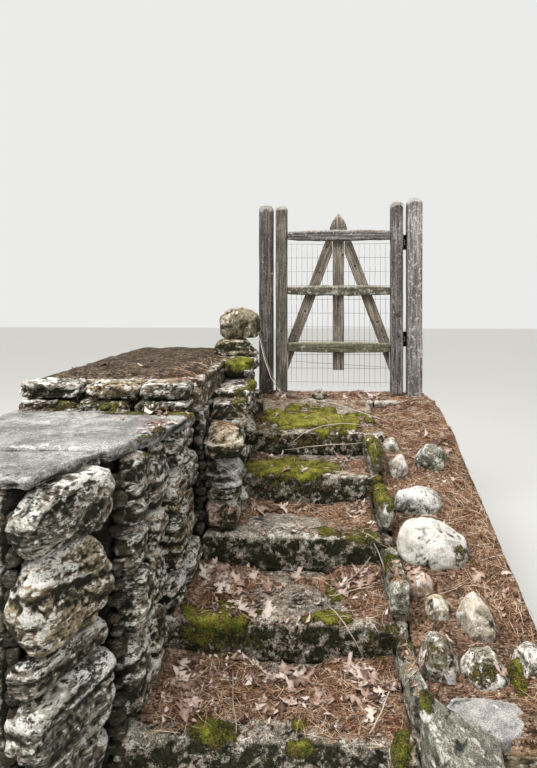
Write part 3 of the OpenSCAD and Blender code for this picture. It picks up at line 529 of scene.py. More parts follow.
# %% Stone material
def stone_material(name, shades, tints, lichen=0.56, black=0.60, crust="#d6d3ca", speckle=0.25, stain=0.35,
                   spots=0.0, pitted=0.8, fissure=0.9, bedded=1.0, deep=-0.5):
    """Rock in three shades, tinted by stone, under stains, grain, lichen, pits, damp and moss, with
    painted light on its ridges and tops and painted shade in its hollows and on its undersides.

    bedded draws its patches out level, to this many times their height. Hollows below deep get
    painted shade, near black."""
    material, add = new_material(name)
    place = add("TexCoord", out="Object")
    rock = add("Mapping", place, scale=(bedded ** -0.5, bedded ** -0.5, bedded ** 0.5))
    tint, relief, grown, ridge, damp_and_shade, layer = (
        add("Attribute", out="Fac", attribute_name=mark)
        for mark in ("tint", "relief", "moss", "ridge", "damp_and_shade", "layer"))
    broad = add("TexNoise", place, size=0.20, detail=3, roughness=0.6)
    clumps = add("TexNoise", rock, size=0.07, detail=6, roughness=0.65)
    fine = add("TexNoise", rock, size=0.034, detail=10, roughness=0.72)
    grain = add("TexNoise", place, size=0.0042, detail=3, roughness=0.6)
    pits = add("TexNoise", rock, size=0.013, detail=10, roughness=0.76)
    veins = add("TexNoise", rock, size=0.09, detail=8, roughness=0.68, distortion=0.4)
    dots = add("TexNoise", rock, size=0.012, detail=5, roughness=0.7)
    gaps = add("TexNoise", place, size=0.06, detail=4, roughness=0.6)
    soaked = add("TexNoise", place, size=0.055, detail=10, roughness=0.76)

    # The ridge mark puts painted light into the rock's own shade: ridges and lit tops paler, hollows and
    # undersides darker.
    mineral_and_light = weighed(add, 0.54, (veins, 1.5), (ridge, 0.16))
    body = add("ValToRGB", mineral_and_light, stops=((0.34, 0.5, 0.66), shades))
    own_tint = add("ValToRGB", tint, stops=(np.linspace(0, 1, len(tints)), tints))
    body = add("MixRGB", 0.85, body, own_tint, blend_type="MULTIPLY")
    body = coat(add, body, "#86694a", broad, 0.46, 0.62, 0, stain)
    flecks = add("ValToRGB", grain, stops=((0.36, 0.5, 0.64), ("#2b2a28", "#8a8884", "#f2f0ea")))
    body = add("MixRGB", speckle, body, flecks, blend_type="OVERLAY")

    # The ridge mark also gives ridges and lit tops more pale crust, so the crust carries painted light too.
    crusted = weighed(add, fine, (broad, 0.5), (add("Math", ridge, 0.5, operation="ADD"), 0.12))
    pale = add("ValToRGB", grain, stops=((0.32, 0.58), ("#a3a197", crust)))
    body = coat(add, body, pale, crusted, lichen, lichen + 0.025, 0, 0.95)
    body = coat(add, body, crust, pits, 0.55, 0.62, 0, 0.6 * pitted)
    body = coat(add, body, "#1f1c17", pits, 0.42, 0.37, 0, pitted)
    specks = weighed(add, dots, (clumps, 0.55), (broad, -0.2))
    body = coat(add, body, "#1a1815", specks, black, black + 0.02, 0, 0.93)
    if spots:
        disc = add("TexVoronoi", place, size=0.020)
        spotted = add("MapRange", clumps, 0.47, 0.52, 0, spots)
        body = coat(add, body, "#1c1b17", disc, 0.27, 0.20, share=spotted)

    # Painted shade: hollows, joints, covered sides and undersides go near black below deep.
    body = coat(add, body, "#12100c", weighed(add, relief, (ridge, 0.7)), deep - 0.65, deep, 0.95, 0)
    seam = add("Math", layer, add("Math", pits, 0.25, operation="MULTIPLY"), operation="ADD")
    body = coat(add, body, "#0f0d0a", seam, 0.15, 0.24, fissure, 0, share=add("MapRange", gaps, 0.46, 0.52))
    # Dark wet patches, scaled by the damp mark: damp stone with painted shade, most on faces that look
    # sideways or down.
    wet_and_shaded = add("ValToRGB", pits, stops=((0.42, 0.60), ("#0a0a06", "#38381f")))
    body = coat(add, body, wet_and_shaded, soaked, 0.455, 0.53, 0, 1.5, share=damp_and_shade)
    body, cover, pile = mossed(add, place, body, grown)
    tufts = add("Math", add("Math", pile, cover, operation="MULTIPLY"), 1.3, operation="MULTIPLY")
    bump = add("Bump", height=add("Math", pits, tufts, operation="ADD"), distance=0.007, strength=0.85)
    return painted(material, {"Base Color": body, "Roughness": 0.92, "Specular IOR Level": 0.25,
                              "Normal": bump})


# %% The stones by kind
# Granite of the steps: coarse pale and dark grains with round black lichens.
granite = stone_material("split_granite", ("#9d9890", "#c0bbb2", "#dbd6cd"), ("#e6e1da", "#f0ebe2"),
                         lichen=0.60, black=0.655, speckle=0.85, crust="#e6e2d8", stain=0.25, spots=0.8,
                         pitted=0.7, fissure=0.5)
# Stones of the walls: split fieldstone of many tints, bedded level, under white and black lichen.
fieldstone = stone_material("lichened_fieldstone", ("#57524a", "#97907f", "#d3cdc1"),
                            ("#c8ced0", "#dedad4", "#bcb6ae", "#e6dccf", "#c8c4c1", "#d8b88c", "#e8d6b4"),
                            lichen=0.57, black=0.565, stain=0.45, spots=0.4, crust="#f6f3ec", pitted=0.9,
                            bedded=3.2, deep=-0.3)
creamstone = stone_material("cream_fieldstone", ("#40382b", "#766b53", "#d8ccb0"), ("#e6e2da", "#f0e8d6"),
                            lichen=0.59, black=0.60, stain=0.3, crust="#efe6cf", bedded=3.0)
pinkstone = stone_material("pink_fieldstone", ("#8a6f62", "#b59889", "#d3bcae"), ("#ece2dc", "#f0e4da"),
                           lichen=0.58, black=0.62, pitted=0.7)
# Boulders and cobbles: rounded by ice and water, so smooth, pale and finely speckled.
palestone = stone_material("pale_fieldstone", ("#c9c5bf", "#e4e1dc", "#f3f2ee"),
                           ("#f4f2ee", "#f4f0ea", "#eeeeee"), lichen=0.57, black=0.70, speckle=0.35,
                           stain=0.03, crust="#f4f1ea", pitted=0.3, fissure=0.3)
cobblestone = stone_material("pale_cobble", ("#b3a899", "#d6cdbf", "#ece6da"),
                             ("#f6dccd", "#ece5ca", "#f7f5f0"),
                             lichen=0.58, black=0.68, speckle=0.4, stain=0.12, crust="#f4f1ea", pitted=0.4,
                             fissure=0.5)
benchstone = stone_material("bench_stone", ("#8f897c", "#beb8ab", "#e3ded3"),
                            ("#a39b87", "#cfc8b6", "#fdfbf6"),
                            lichen=0.55, black=0.625, speckle=0.5, stain=0.2, spots=0.6, crust="#f4f1ea")
whitestone = stone_material("lichen_white_stone", ("#b3afa4", "#dad6cc", "#f0ede5"), ("#f0ede7", "#ececea"),
                            lichen=0.47, black=0.585, speckle=0.3, stain=0.08, crust="#f6f5ef", spots=0.8,
                            pitted=0.5)
boulderstone = stone_material("tan_boulder_stone", ("#6b6555", "#938c79", "#b7b09c"), ("#ece6dc", "#f0ebe2"),
                              lichen=0.61, black=0.64, speckle=0.6, stain=0.3, pitted=0.5, crust="#cfc9b6")
# Split blocks, uprights and flags: flat grey and green-grey faces with few pits and thin lichen.
kerbstone = stone_material("grey_kerb_stone", ("#a8a294", "#cfcabd", "#ebe7dd"),
                           ("#85877a", "#c4c1ae", "#f5ece4"), lichen=0.57, black=0.64, speckle=0.4,
                           stain=0.15, crust="#efece4", pitted=0.6)
greenstone = stone_material("green_grey_stone", ("#74746a", "#9a988d", "#c0beb2"), ("#e8e6e0", "#eeeee8"),
                            lichen=0.59, black=0.66, speckle=0.7, stain=0.15, pitted=0.5, crust="#dedcd2")
slate = stone_material("grey_flagstone", ("#7d7b79", "#a3a19e", "#c6c4c0"), ("#e8e6e4", "#eeeeec"),
                       lichen=0.615, black=0.64, speckle=0.6, stain=0.14, pitted=0.5, crust="#cfcdc8",
                       bedded=2.0)
flag = stone_material("terrace_flagstone", ("#838281", "#a3a2a1", "#c0bfbd"), ("#eaeae9", "#efedea"),
                      lichen=0.63, black=0.65, speckle=0.6, stain=0.06, pitted=0.4, crust="#c9c8c5",
                      bedded=2.0)
plate = stone_material("pale_flagstone", ("#a3a19f", "#bfbdbb", "#d6d4d1"), ("#f0eeec", "#f4f2f0"),
                       lichen=0.64, black=0.69, speckle=0.5, stain=0.04, pitted=0.2, crust="#efedea",
                       fissure=0.2)


# %% [markdown]
# ## The flight
# Each step is a slab of granite, split and not sawn. Its front is broken and its middle is worn
# bare by feet, so the granite shows there and the moss keeps to the sides.

# %% Steps and sill
for k in range(1, 6):
    weathered(f"split_slab_{k}", f"step_{k}", granite, "granite", 0.0115, k, lumps=(0.085, 0.0065),
              chips=(0.024, 0.0035), ledges=0.002, damp_and_shade=1.3, lit=-0.15)
weathered("mossy_wedge", "landing_stone", granite, "granite", 0.0115, 7, cushion=0.012)
weathered("gate_flags", "gate_sill_flags", granite, "granite", 0.013, 8, lumps=(0.08, 0.004))

# %% [markdown]
# ## The left wall
# The facing is laid dry: uneven courses, dark open joints, thin packing stones. Its stones were
# picked up and split by hand, so each gets its own broken faces and layers.

# %% Facing stones
weathered("lower_facing", "left_wall_lower_face", fieldstone, "dark_fieldstone", 0.0105, 11,
          lumps=(0.09, 0.006), chips=(0.026, 0.005), cuts=14, keep=0.87, ledges=0.007, worn=1, damp_and_shade=0.40,
          lit=0.8, joint=0.55)
weathered("upper_facing", "left_wall_upper_face", fieldstone, "dark_fieldstone", 0.0105, 12,
          lumps=(0.08, 0.006), chips=(0.024, 0.005), cuts=14, keep=0.87, ledges=0.007, worn=1, damp_and_shade=0.9,
          lit=0.5, joint=0.8)
weathered("corner_round_stone", "corner_cobble", pinkstone, "pale_stone", 0.008, 13, cuts=6, lit=1.0,
          damp_and_shade=1.8)
weathered("corner_thin_stones", "corner_shims", fieldstone, "pale_stone", 0.006, 14, chips=(0.02, 0.004),
          ledges=0.006, worn=1)
weathered("corner_grey_block", "corner_block", slate, "dark_fieldstone", 0.007, 15, lumps=(0.05, 0.004),
          cuts=4, ledges=0.011, worn=1, lit=0.8, damp_and_shade=1.0)
weathered("corner_cap_stone", "corner_cap", creamstone, "pale_stone", 0.008, 16, lumps=(0.06, 0.006), cuts=14,
          keep=0.86, ledges=0.009, worn=1, damp_and_shade=1.8, lit=1.0)
weathered("terrace_flag", "terrace_slab", flag, "pale_stone", 0.010, 17, lumps=(0.12, 0.003),
          chips=(0.03, 0.002), ledges=0.007, worn=0)
weathered("terrace_front_flag", "terrace_front_slab", flag, "pale_stone", 0.009, 18, lumps=(0.10, 0.004),
          chips=(0.03, 0.003), ledges=0.008, worn=0)
weathered("tier_stones", "upper_tier_stones", fieldstone, "mossy_stone", 0.010, 19, chips=(0.024, 0.005),
          cuts=12, keep=0.85, ledges=0.009, worn=1, damp_and_shade=0.7, lit=0.1)
weathered("post_boulder_below", "post_boulder_low", creamstone, "dark_fieldstone", 0.009, 20, cuts=8,
          ledges=0.007, worn=1, damp_and_shade=1.2, lit=0.0)
weathered("post_boulder_above", "post_boulder_top", boulderstone, "dark_fieldstone", 0.009, 21, cuts=6,
          lit=0.5, damp_and_shade=0.6)


# %% Right wall stones
weathered("kerb_uprights", "kerb_stones", greenstone, "dark_fieldstone", 0.009, 31, cuts=6, ledges=0.003,
          worn=1, damp_and_shade=0.15)
weathered("split_block", "angular_block", greenstone, "pale_stone", 0.010, 32, lumps=(0.12, 0.005),
          chips=(0.03, 0.003), ledges=0.003, worn=0)
weathered("loose_slab", "flat_grey_slab", plate, "pale_stone", 0.005, 33, lumps=(0.1, 0.0015),
          chips=(0.02, 0.001), cuts=3, worn=0)
weathered("bench_stones", "bench_boulders", benchstone, "dark_fieldstone", 0.0085, 34, lumps=(0.07, 0.007),
          cuts=12, ledges=0.004, worn=1, damp_and_shade=0.25)
weathered("slope_stones", "slope_cobbles", cobblestone, "dark_fieldstone", 0.0075, 35, lumps=(0.07, 0.006),
          cuts=10, worn=1)
weathered("pale_long_boulder", "pale_boulder", palestone, "pale_stone", 0.010, 36, cuts=5, damp_and_shade=0.2, lit=0.5)
weathered("lichen_white_boulder", "lichen_boulder", whitestone, "pale_stone", 0.0095, 37, lumps=(0.08, 0.008),
          cuts=12, worn=1)
weathered("upper_kerb_stones", "upper_kerb_boulders", kerbstone, "mossy_stone", 0.0085, 38,
          lumps=(0.07, 0.006), cuts=12, worn=1)
weathered("foot_moss_stone", "moss_cobble", fieldstone, "mossy_stone", 0.009, 39)
weathered("sill_cobble", "landing_cobble", greenstone, "mossy_stone", 0.007, 40, cuts=4, damp_and_shade=1.4, lit=0.5)

# %% [markdown]
# ## Outer walling
# The far sides are laid dry too, and their solids already have the open joints between the stones.
# The skin only adds worn edges and rough faces. Each stone's face is an island between its joints,
# so a label for each island gives every stone a shade of its own.

# %% Cores and their outer stones
FACE_DEPTH = 0.012


def inset(x, y, low, high):
    """How far each place lies inside the sides of a box, seen from above."""
    return np.minimum.reduce([x - low.x, high.x - x, y - low.y, high.y - y])


def walling(name, node, voxel, seed, slot="rubble", covered=0):
    """A core with rough outer stones: points near the sides of its box are faces, others are joints.

    covered is 1 or -1 where facing stones hide the core's right or left side: it is all shade."""
    points, quads = remeshed(*next(solids_of(node)), voxel)
    points = relaxed(points, quads, 1)
    behind = inset(points[:, 0], points[:, 1], *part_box(node))
    face = behind < FACE_DEPTH
    island = grouped(len(points), quads[face[quads].all(1)])
    tint = np.where(face, (hashed(island, 6) + 1) / 2, 0.4)
    normals = normals_of(points, quads)
    upright = eased(1.6 - 2 * np.abs(normals[:, 2]))
    height = 0.006 * rough(points + 0.4 * tint[:, None], 0.07, 3, seed) - 0.006
    height += 0.003 * noise(points * [0.15, 0.15, 1], 0.016, seed) * upright
    points = points + height[:, None] * normals
    normals = normals_of(points, quads)
    joint = np.clip((behind - 0.008) / 0.014, 0, 1.1) * upright
    shade = eased(covered * normals[:, 0] * 2) * eased((behind - FACE_DEPTH) / 0.03)
    # The damp mark is wet patches with painted shade, on faces that look sideways or down.
    marks = {"tint": tint, "relief": -np.maximum(joint, 1.5 * shade), "moss": growth(points, normals),
             "ridge": np.clip(5 * ridges(points, quads, normals, voxel), -1, 1),
             "damp_and_shade": 0.5 * np.clip(0.75 - normals[:, 2], 0, 1), "layer": 1.0}
    return mesh_piece(name, points, quads, fieldstone, slot, marks=marks, replaces=node)


def dressed(node, material):
    """Shows a CAD node in a material."""
    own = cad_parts[node].data.materials
    own.clear()
    own.append(material)


walling("terrace_walling", "left_wall_core", 0.020, 51, covered=1)
walling("tier_walling", "upper_tier_core", 0.018, 52, "mossy_stone")
walling("bed_walling", "right_wall_bed", 0.0185, 53, covered=-1)
walling("platform_walling", "landing_core", 0.020, 54)
dressed("stair_core", fieldstone)

# %% [markdown]
# ## Soil and litter
# Years of pine needles and oak leaves lie on the treads, deepest against the risers, and soil fills
# the wall on the right up to the shoulders of its stones. Each bed is a closed heightfield: its top
# is a function of the place, and its sides go down into the stone below.

# %% Litter material
NEEDLE_STRETCH = (1 / 0.05, 1 / 0.0022, 1 / 0.03)
SCRAPS_A_METRE = 95


def litter_material(name, shades, straw):
    """Shredded leaves and needles: warped cells, each of one shade, painted shade in the gaps between
    them and in holes, streaks every way.

    A streak is a noise drawn out to 50 mm along a needle and pressed to its 2.2 mm across."""
    material, add = new_material(name)
    place = add("TexCoord", out="Object")
    bend = add("TexNoise", place, out="Color", scale=60, detail=4)
    bend = add("VectorMath", bend, operation="SCALE", scale=0.016)
    bent = add("VectorMath", place, bend, operation="ADD")
    scrap = add("SeparateColor", add("TexVoronoi", bent, out="Color", scale=SCRAPS_A_METRE))
    shaded_gap = add("TexVoronoi", bent, scale=SCRAPS_A_METRE, feature="DISTANCE_TO_EDGE")
    fine = add("TexNoise", place, size=0.012, detail=10, roughness=0.8)
    shaded_holes = add("TexNoise", place, size=0.02, detail=9, roughness=0.8)
    heaps = add("TexNoise", place, size=0.075, detail=6, roughness=0.7)
    shade = weighed(add, scrap, (fine, 1.2))
    body = add("ValToRGB", shade, stops=((0.0, 0.3, 0.55, 0.78, 1.0), shades))
    # Painted shade in the gaps between the scraps.
    body = coat(add, body, shades[0], shaded_gap, 0.0, 0.13, 0.85, 0.0)
    for k, colour in enumerate(straw):
        drawn_out = add("Mapping", place, rotation=(0, 0, 0.4 + 1.15 * k), scale=NEEDLE_STRETCH)
        streak = add("TexNoise", drawn_out, scale=1, detail=2)
        here = add("TexNoise", place, size=0.028 + 0.005 * k, detail=4, roughness=0.6)
        body = coat(add, body, colour, streak, 0.54, 0.62, 0, 0.9, share=add("MapRange", here, 0.46, 0.54))
    # Painted shade in holes through the litter.
    body = coat(add, body, shades[0], shaded_holes, 0.44, 0.40, 0, 0.8)
    shaded = add("MapRange", heaps, 0.42, 0.58, 0.0, 0.55)
    body = add("MixRGB", shaded, body, "#6d5547", blend_type="MULTIPLY")
    body = mossed(add, place, body, add("Attribute", out="Fac", attribute_name="moss"))[0]
    mat = add("Math", fine, add("MapRange", shaded_gap, 0.0, 0.2, 0.0, 0.5), operation="ADD")
    bump = add("Bump", height=mat, distance=0.008, strength=0.9)
    return painted(material, {"Base Color": body, "Roughness": 0.95, "Specular IOR Level": 0.15,
                              "Normal": bump})


# Fresh litter of pine needles and torn oak leaves: a warm brown mat with many pale short strokes.
litter = litter_material("pine_litter", ("#241a13", "#5a4233", "#94755f", "#bf9f88", "#e0cbb8"),
                         ("#c79d7c", "#8a6448", "#e3c7ab", "#aa7d5f", "#d6b595"))
# Duff, litter that has rotted for years: dark and dull, with few needles left whole.
duff = litter_material("dark_duff", ("#15120d", "#2f281f", "#54493b", "#7d6f5e", "#a79a88"),
                       ("#8d7058", "#5a4636", "#b09a80"))


# %% Beds
def level(x, y, z=0.0):
    """Places from above as an array of points, at one height or at a height each."""
    return np.stack([x, y, 0 * x + z], 1)


def bank(name, x_range, y_range, height, base, material=litter, spacing=0.011):
    """A closed heightfield: z = height(x, y) over a rectangle, with sides down to base(x, y)."""
    rows, columns = (int((b - a) / spacing) + 2 for a, b in (y_range, x_range))
    x, y = (g.ravel() for g in np.meshgrid(np.linspace(*x_range, columns), np.linspace(*y_range, rows)))
    order = np.arange(rows * columns).reshape(rows, columns)
    rim = np.concatenate([order[0], order[1:, -1], order[-1, -2::-1], order[-2:0:-1, 0]])
    low = rows * columns + np.arange(len(rim))
    sides = np.stack([rim, low, np.roll(low, -1), np.roll(rim, -1)], 1)
    faces = grid_quads(rows, columns).tolist() + sides.tolist() + [low[::-1].tolist()]
    points = np.concatenate([level(x, y, height(x, y)), level(x[rim], y[rim], base(x[rim], y[rim]))])
    return mesh_piece(name, points, faces, material, "mossy_stone", marks={"moss": 0.8 * patches(points)})


# %% Litter on the treads
STEPS = [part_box(f"step_{k}") for k in range(1, 6)]
TREAD_Z = [box[1].z for box in STEPS]
FRONT_Y = [0.0] + [box[0].y for box in STEPS[1:]] + [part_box("gate_sill_flags")[0].y]
SILL_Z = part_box("gate_sill_flags")[1].z
KERB_X = 0.49
LANDING_RIGHT = 0.62
# For each tread: where the face of the left wall stands, and how deep the litter lies.
WALL_FACE = (-0.405, -0.365, -0.16, -0.16, -0.16)
LITTER = (0.030, 0.030, 0.024, 0.010, 0.012)
# Where feet tread: the middle and the half sizes of each ellipse.
BARE = [(-0.02, 0.00, 0.20, 0.06), (0.08, 0.48, 0.20, 0.17), (0.06, 0.86, 0.24, 0.17),
        (0.12, 1.25, 0.22, 0.12), (0.25, 1.55, 0.35, 0.10)]


def bare(x, y):
    """Where feet keep the granite clean: 1 inside the ellipses, easing to 0 outside them."""
    ragged = 0.25 * noise(level(x, y), 0.05, 71)
    return np.max([eased((1.3 - np.hypot((x - cx) / rx, (y - cy) / ry) + ragged) / 0.5)
                   for cx, cy, rx, ry in BARE], axis=0)


def tread_litter(k):
    """The height of the litter on one tread as a function of the place."""
    def height(x, y):
        share = (y - FRONT_Y[k]) / (FRONT_Y[k + 1] - FRONT_Y[k])
        edge = np.minimum(x - WALL_FACE[k], KERB_X - x)
        flat = level(x, y, TREAD_Z[k])
        deep = LITTER[k] * eased(share * 2.4) + 0.022 * eased((share - 0.72) * 3.5)
        deep += 0.014 * (1 - eased(edge / 0.10)) * eased(share * 5)
        deep += 0.006 * noise(flat, 0.06, 72) + 0.006 * noise(flat, 0.022, 73) - 0.008
        deep -= 0.05 * bare(x, y) + 0.045 * eased(patches(flat) - 0.25)
        return TREAD_Z[k] + np.maximum(deep, -0.014)
    return height


for k in range(5):
    right = KERB_X + 0.012 if k < 4 else LANDING_RIGHT
    bank(f"tread_litter_{k + 1}", (WALL_FACE[k] - 0.02, right), (FRONT_Y[k] + 0.016, FRONT_Y[k + 1] - 0.001),
         tread_litter(k), lambda x, y: TREAD_Z[k] - 0.020)


# %% Map of tops
CELL = 0.013
MAP_ROWS, MAP_COLUMNS = (int((HIGH[k] - LOW[k]) / CELL) + 1 for k in (1, 0))


def cells(x, y):
    """The row and column of each place in a map of square cells."""
    return (np.clip(((y - LOW[1]) / CELL).astype(int), 0, MAP_ROWS - 1),
            np.clip(((x - LOW[0]) / CELL).astype(int), 0, MAP_COLUMNS - 1))


def top_map():
    """The height of the highest vertex of all pieces so far in each cell, or -1."""
    tops = np.full((MAP_ROWS, MAP_COLUMNS), -1.0)
    for piece in MADE:
        spots = read(piece.data.vertices, "co", 3)
        np.maximum.at(tops, cells(spots[:, 0], spots[:, 1]), spots[:, 2])
    return tops


# %% Soil of the right wall
BED_PROFILE = ((-0.12, 0.225), (0.27, 0.225), (1.60, 0.7397), (2.04, 0.8277))
BED_LOW, BED_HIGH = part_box("right_wall_bed")


def bed_top(y):
    """The height of the bed's solid along the flight."""
    return np.interp(y, *zip(*BED_PROFILE))


drift = (top_map() > bed_top(LOW[1] + CELL * np.arange(MAP_ROWS))[:, None] + 0.05).astype(float)
for _ in range(6):
    drift = (drift + sum(np.roll(drift, way, axis) for way in (-1, 1) for axis in (0, 1))) / 5


def soil(x, y):
    """Soil over the bed: it rises to the right, swells, and is drifted up against the stones."""
    flat = level(x, y)
    rise = 0.012 + 0.055 * eased((x - BED_LOW.x) / 0.40)
    rise += 0.035 * drift[cells(x, y)] * eased((x - 0.56) / 0.05)
    return bed_top(y) + rise + 0.014 * rough(flat, 0.16, 2, 74) + 0.004 * noise(flat, 0.03, 75)


bank("bed_soil", (BED_LOW.x + 0.004, BED_HIGH.x - 0.012), (BED_LOW.y + 0.012, FRONT_Y[5] - 0.002), soil,
     lambda x, y: bed_top(y) - 0.03)


# %% Soil of the upper tier
TIER_LOW, TIER_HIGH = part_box("upper_tier_core")
# Each heap on the sill: its top, its middle and its half widths.
HEAPS = ((0.030, -0.02, 2.17, 0.07, 0.06), (0.035, 0.55, 2.20, 0.16, 0.05))


def tier_soil(x, y):
    """Soil and needles on the tier, banked up towards its middle and sunk at its edges."""
    edge = inset(x, y, TIER_LOW, TIER_HIGH)
    return TIER_HIGH.z - 0.012 + 0.030 * eased(edge / 0.12) + 0.010 * rough(level(x, y), 0.13, 3, 76)


def sill_litter(x, y):
    """Debris that has blown against the gate: thin in front, heaped at the two stiles.

    A heap's height is its top times exp(-d^2), where d is the distance in its half widths."""
    heap = sum(top * np.exp(-(((x - cx) / rx) ** 2 + ((y - cy) / ry) ** 2)) for top, cx, cy, rx, ry in HEAPS)
    return SILL_Z + 0.001 + heap + 0.006 * rough(level(x, y), 0.06, 3, 77)


bank("tier_soil", (TIER_LOW.x + 0.015, TIER_HIGH.x - 0.004), (TIER_LOW.y + 0.01, TIER_HIGH.y - 0.012),
     tier_soil, lambda x, y: TIER_HIGH.z - 0.04, duff, spacing=0.014)
bank("sill_litter", (-0.31, 1.02), (FRONT_Y[5] + 0.03, FRONT_Y[5] + 0.375), sill_litter,
     lambda x, y: SILL_Z - 0.02)


# %% [markdown]
# ## Needles, leaves, twigs
# Loose litter has to lie on what is under it. A map of the ground comes from the vertices of all
# stones and beds: the highest one in each square cell of 13 mm. Needles are dropped on that map,
# each as a thin three-sided rod through three points.

# %% Ground map
ground = top_map()
print("ground map", ground.shape, "empty cells", int((ground < 0).sum()))


def ground_z(x, y):
    """The ground's height under a place, from its cell."""
    return ground[cells(x, y)]


def settled(x, y, lift, stiffness=0.6):
    """Heights of rods laid over the ground, row by row, and which of them lie well.

    A rod is straight between its ends to the share of its stiffness, and is raised until no point
    of it is under the ground. One that would bridge a drop of over 40 mm is left out."""
    under = ground_z(x, y)
    t = np.linspace(0, 1, x.shape[1])
    line = under[:, :1] * (1 - t) + under[:, -1:] * t
    z = stiffness * line + (1 - stiffness) * under
    z = z + np.clip((under - z).max(1, keepdims=True), 0, 0.012) + lift
    return z, (np.ptp(under, axis=1) < 0.04) & (under.min(1) > 0)


def turned(x, y, heading, along, aside):
    """Places along a heading, and aside of it, from x and y."""
    return (x + along * np.cos(heading) - aside * np.sin(heading),
            y + along * np.sin(heading) + aside * np.cos(heading))


def rods(name, points, radius, material, slot="mossy_stone", sides=3, tint=None, **more):
    """Thin closed rods: each row of points carries rings of a few sides, narrower at its ends."""
    count, stations, _ = points.shape
    ahead = unit(np.gradient(points, axis=1))
    across = unit(np.cross(ahead, [0.0, 0.0, 1.0]))
    up = np.cross(ahead, across)
    turn = 2 * np.pi * np.arange(sides)[:, None] / sides
    taper = 1 - 0.5 * np.abs(np.linspace(-1, 1, stations)) ** 3
    size = (np.broadcast_to(radius, (count,))[:, None] * taper)[:, :, None, None]
    ring = points[:, :, None] + size * (across[:, :, None] * np.cos(turn) + up[:, :, None] * np.sin(turn))
    marks = {} if tint is None else {"tint": np.repeat(tint, stations * sides)}
    faces = capped(count, stations, sides)
    return mesh_piece(name, ring.reshape(-1, 3), faces, material, slot, marks=marks, **more)


# %% Litter finishes
def dry_material(name, *shades):
    """Dry plant matter: each needle, leaf or twig has its own shade by its tint."""
    material, add = new_material(name)
    place = add("TexCoord", out="Object")
    tint = add("Attribute", out="Fac", attribute_name="tint")
    mottled = add("TexNoise", place, size=0.012, detail=5, roughness=0.6)
    heaps = add("TexNoise", place, size=0.075, detail=6, roughness=0.7)
    shade = weighed(add, tint, (mottled, 0.35), (heaps, -1.1))
    colour = add("ValToRGB", shade, stops=(np.linspace(0, 1, len(shades)), shades))
    return painted(material, {"Base Color": colour, "Roughness": 0.8, "Specular IOR Level": 0.3})


# Dead needles are straw to rust, oak leaves bleach to grey-brown, twigs to grey, and a cone is dark.
needle = dry_material("pine_needle", "#4a2d1b", "#85553a", "#b98762", "#dcb992", "#f6e9d6")
oak_leaf = dry_material("fallen_oak_leaf", "#3d2c22", "#6d5446", "#96796a", "#b39a8b", "#c6b0a2", "#dccdc1")
twig = dry_material("dry_twig", "#54483e", "#85786b", "#b5a899", "#cfc5b6")
cone_brown = dry_material("pine_cone_brown", "#120e0b", "#2a2019", "#54443a")

# %% Pine needles
NEEDLE_RADIUS = 0.0011


def littered(x, y, z):
    """How much litter lies at a place, from 0 to 1: little on bare granite, moss and boulders."""
    flat = level(x, y, z)
    density = np.where(x > KERB_X + 0.06, np.where(z > soil(x, y) + 0.02, 0.02, 0.95), 1.0)
    density = density * (1 - 0.93 * bare(x, y) * (x < KERB_X)) * (1 - 0.8 * eased(patches(flat) * 1.5))
    density *= np.where(z > 1.0, np.where(y > 0.6, 0.20, 0.03), 1.0)
    density *= np.where((y > 1.05) & (y < 2.04) & (x < KERB_X), 0.45, 1.0)
    density *= np.where((np.abs(x - 0.73) < 0.16) & (np.abs(y + 0.02) < 0.11), 0.0, 1.0)
    return density * np.clip(0.75 + 0.6 * rough(flat, 0.12, 2, 81), 0.1, 1)


draws = np.random.default_rng(2024)


def scatter(tries):
    """Random places on the flight and the right wall, kept where litter lies."""
    x, y = draws.uniform(-0.50, 1.04, tries), draws.uniform(-0.05, 2.40, tries)
    z = ground_z(x, y)
    keep = (draws.random(tries) < littered(x, y, z)) & (z > 0)
    return x[keep], y[keep]


t = np.linspace(-1, 1, 3)
x, y = scatter(26000)
heading = draws.uniform(0, 2 * np.pi, (len(x), 1))
reach = draws.uniform(0.020, 0.052, (len(x), 1)) * t
bow = draws.normal(0, 0.005, (len(x), 1)) * (1 - t ** 2)
x, y = turned(x[:, None], y[:, None], heading, reach, bow)
z, lies = settled(x, y, draws.uniform(0.001, 0.007, (len(x), 1)))
needles = np.stack([x, y, z], 2)[lies]
rods("pine_needles", needles, NEEDLE_RADIUS, needle, tint=draws.random(len(needles)))

# %% Oak leaves
# Each heap of leaves: its middle, its spread and how many leaves it has.
LEAF_SPOTS = [
    (-0.30, 0.28, 0.09, 22), (-0.28, 0.14, 0.08, 14), (-0.06, 0.33, 0.13, 24), (0.15, 0.34, 0.10, 14),
    (0.35, 0.33, 0.08, 14), (0.42, 0.18, 0.07, 12), (0.10, 0.20, 0.20, 12), (-0.30, 0.68, 0.07, 24),
    (-0.22, 0.62, 0.08, 20), (-0.10, 0.73, 0.08, 14), (0.06, 0.75, 0.10, 8), (0.40, 0.70, 0.06, 12),
    (0.33, 0.66, 0.08, 7), (-0.12, 1.10, 0.05, 8), (0.08, 1.12, 0.12, 6), (0.42, 1.05, 0.05, 6),
    (-0.10, 1.48, 0.05, 5), (0.36, 1.50, 0.06, 5), (0.62, 2.18, 0.12, 10), (0.00, 2.15, 0.08, 8),
    (0.30, 2.17, 0.12, 6), (0.80, 1.4, 0.22, 9), (0.85, 0.6, 0.18, 9), (0.72, 0.2, 0.12, 6),
    (-0.70, 0.80, 0.30, 6), (-0.45, 0.50, 0.05, 4),
]


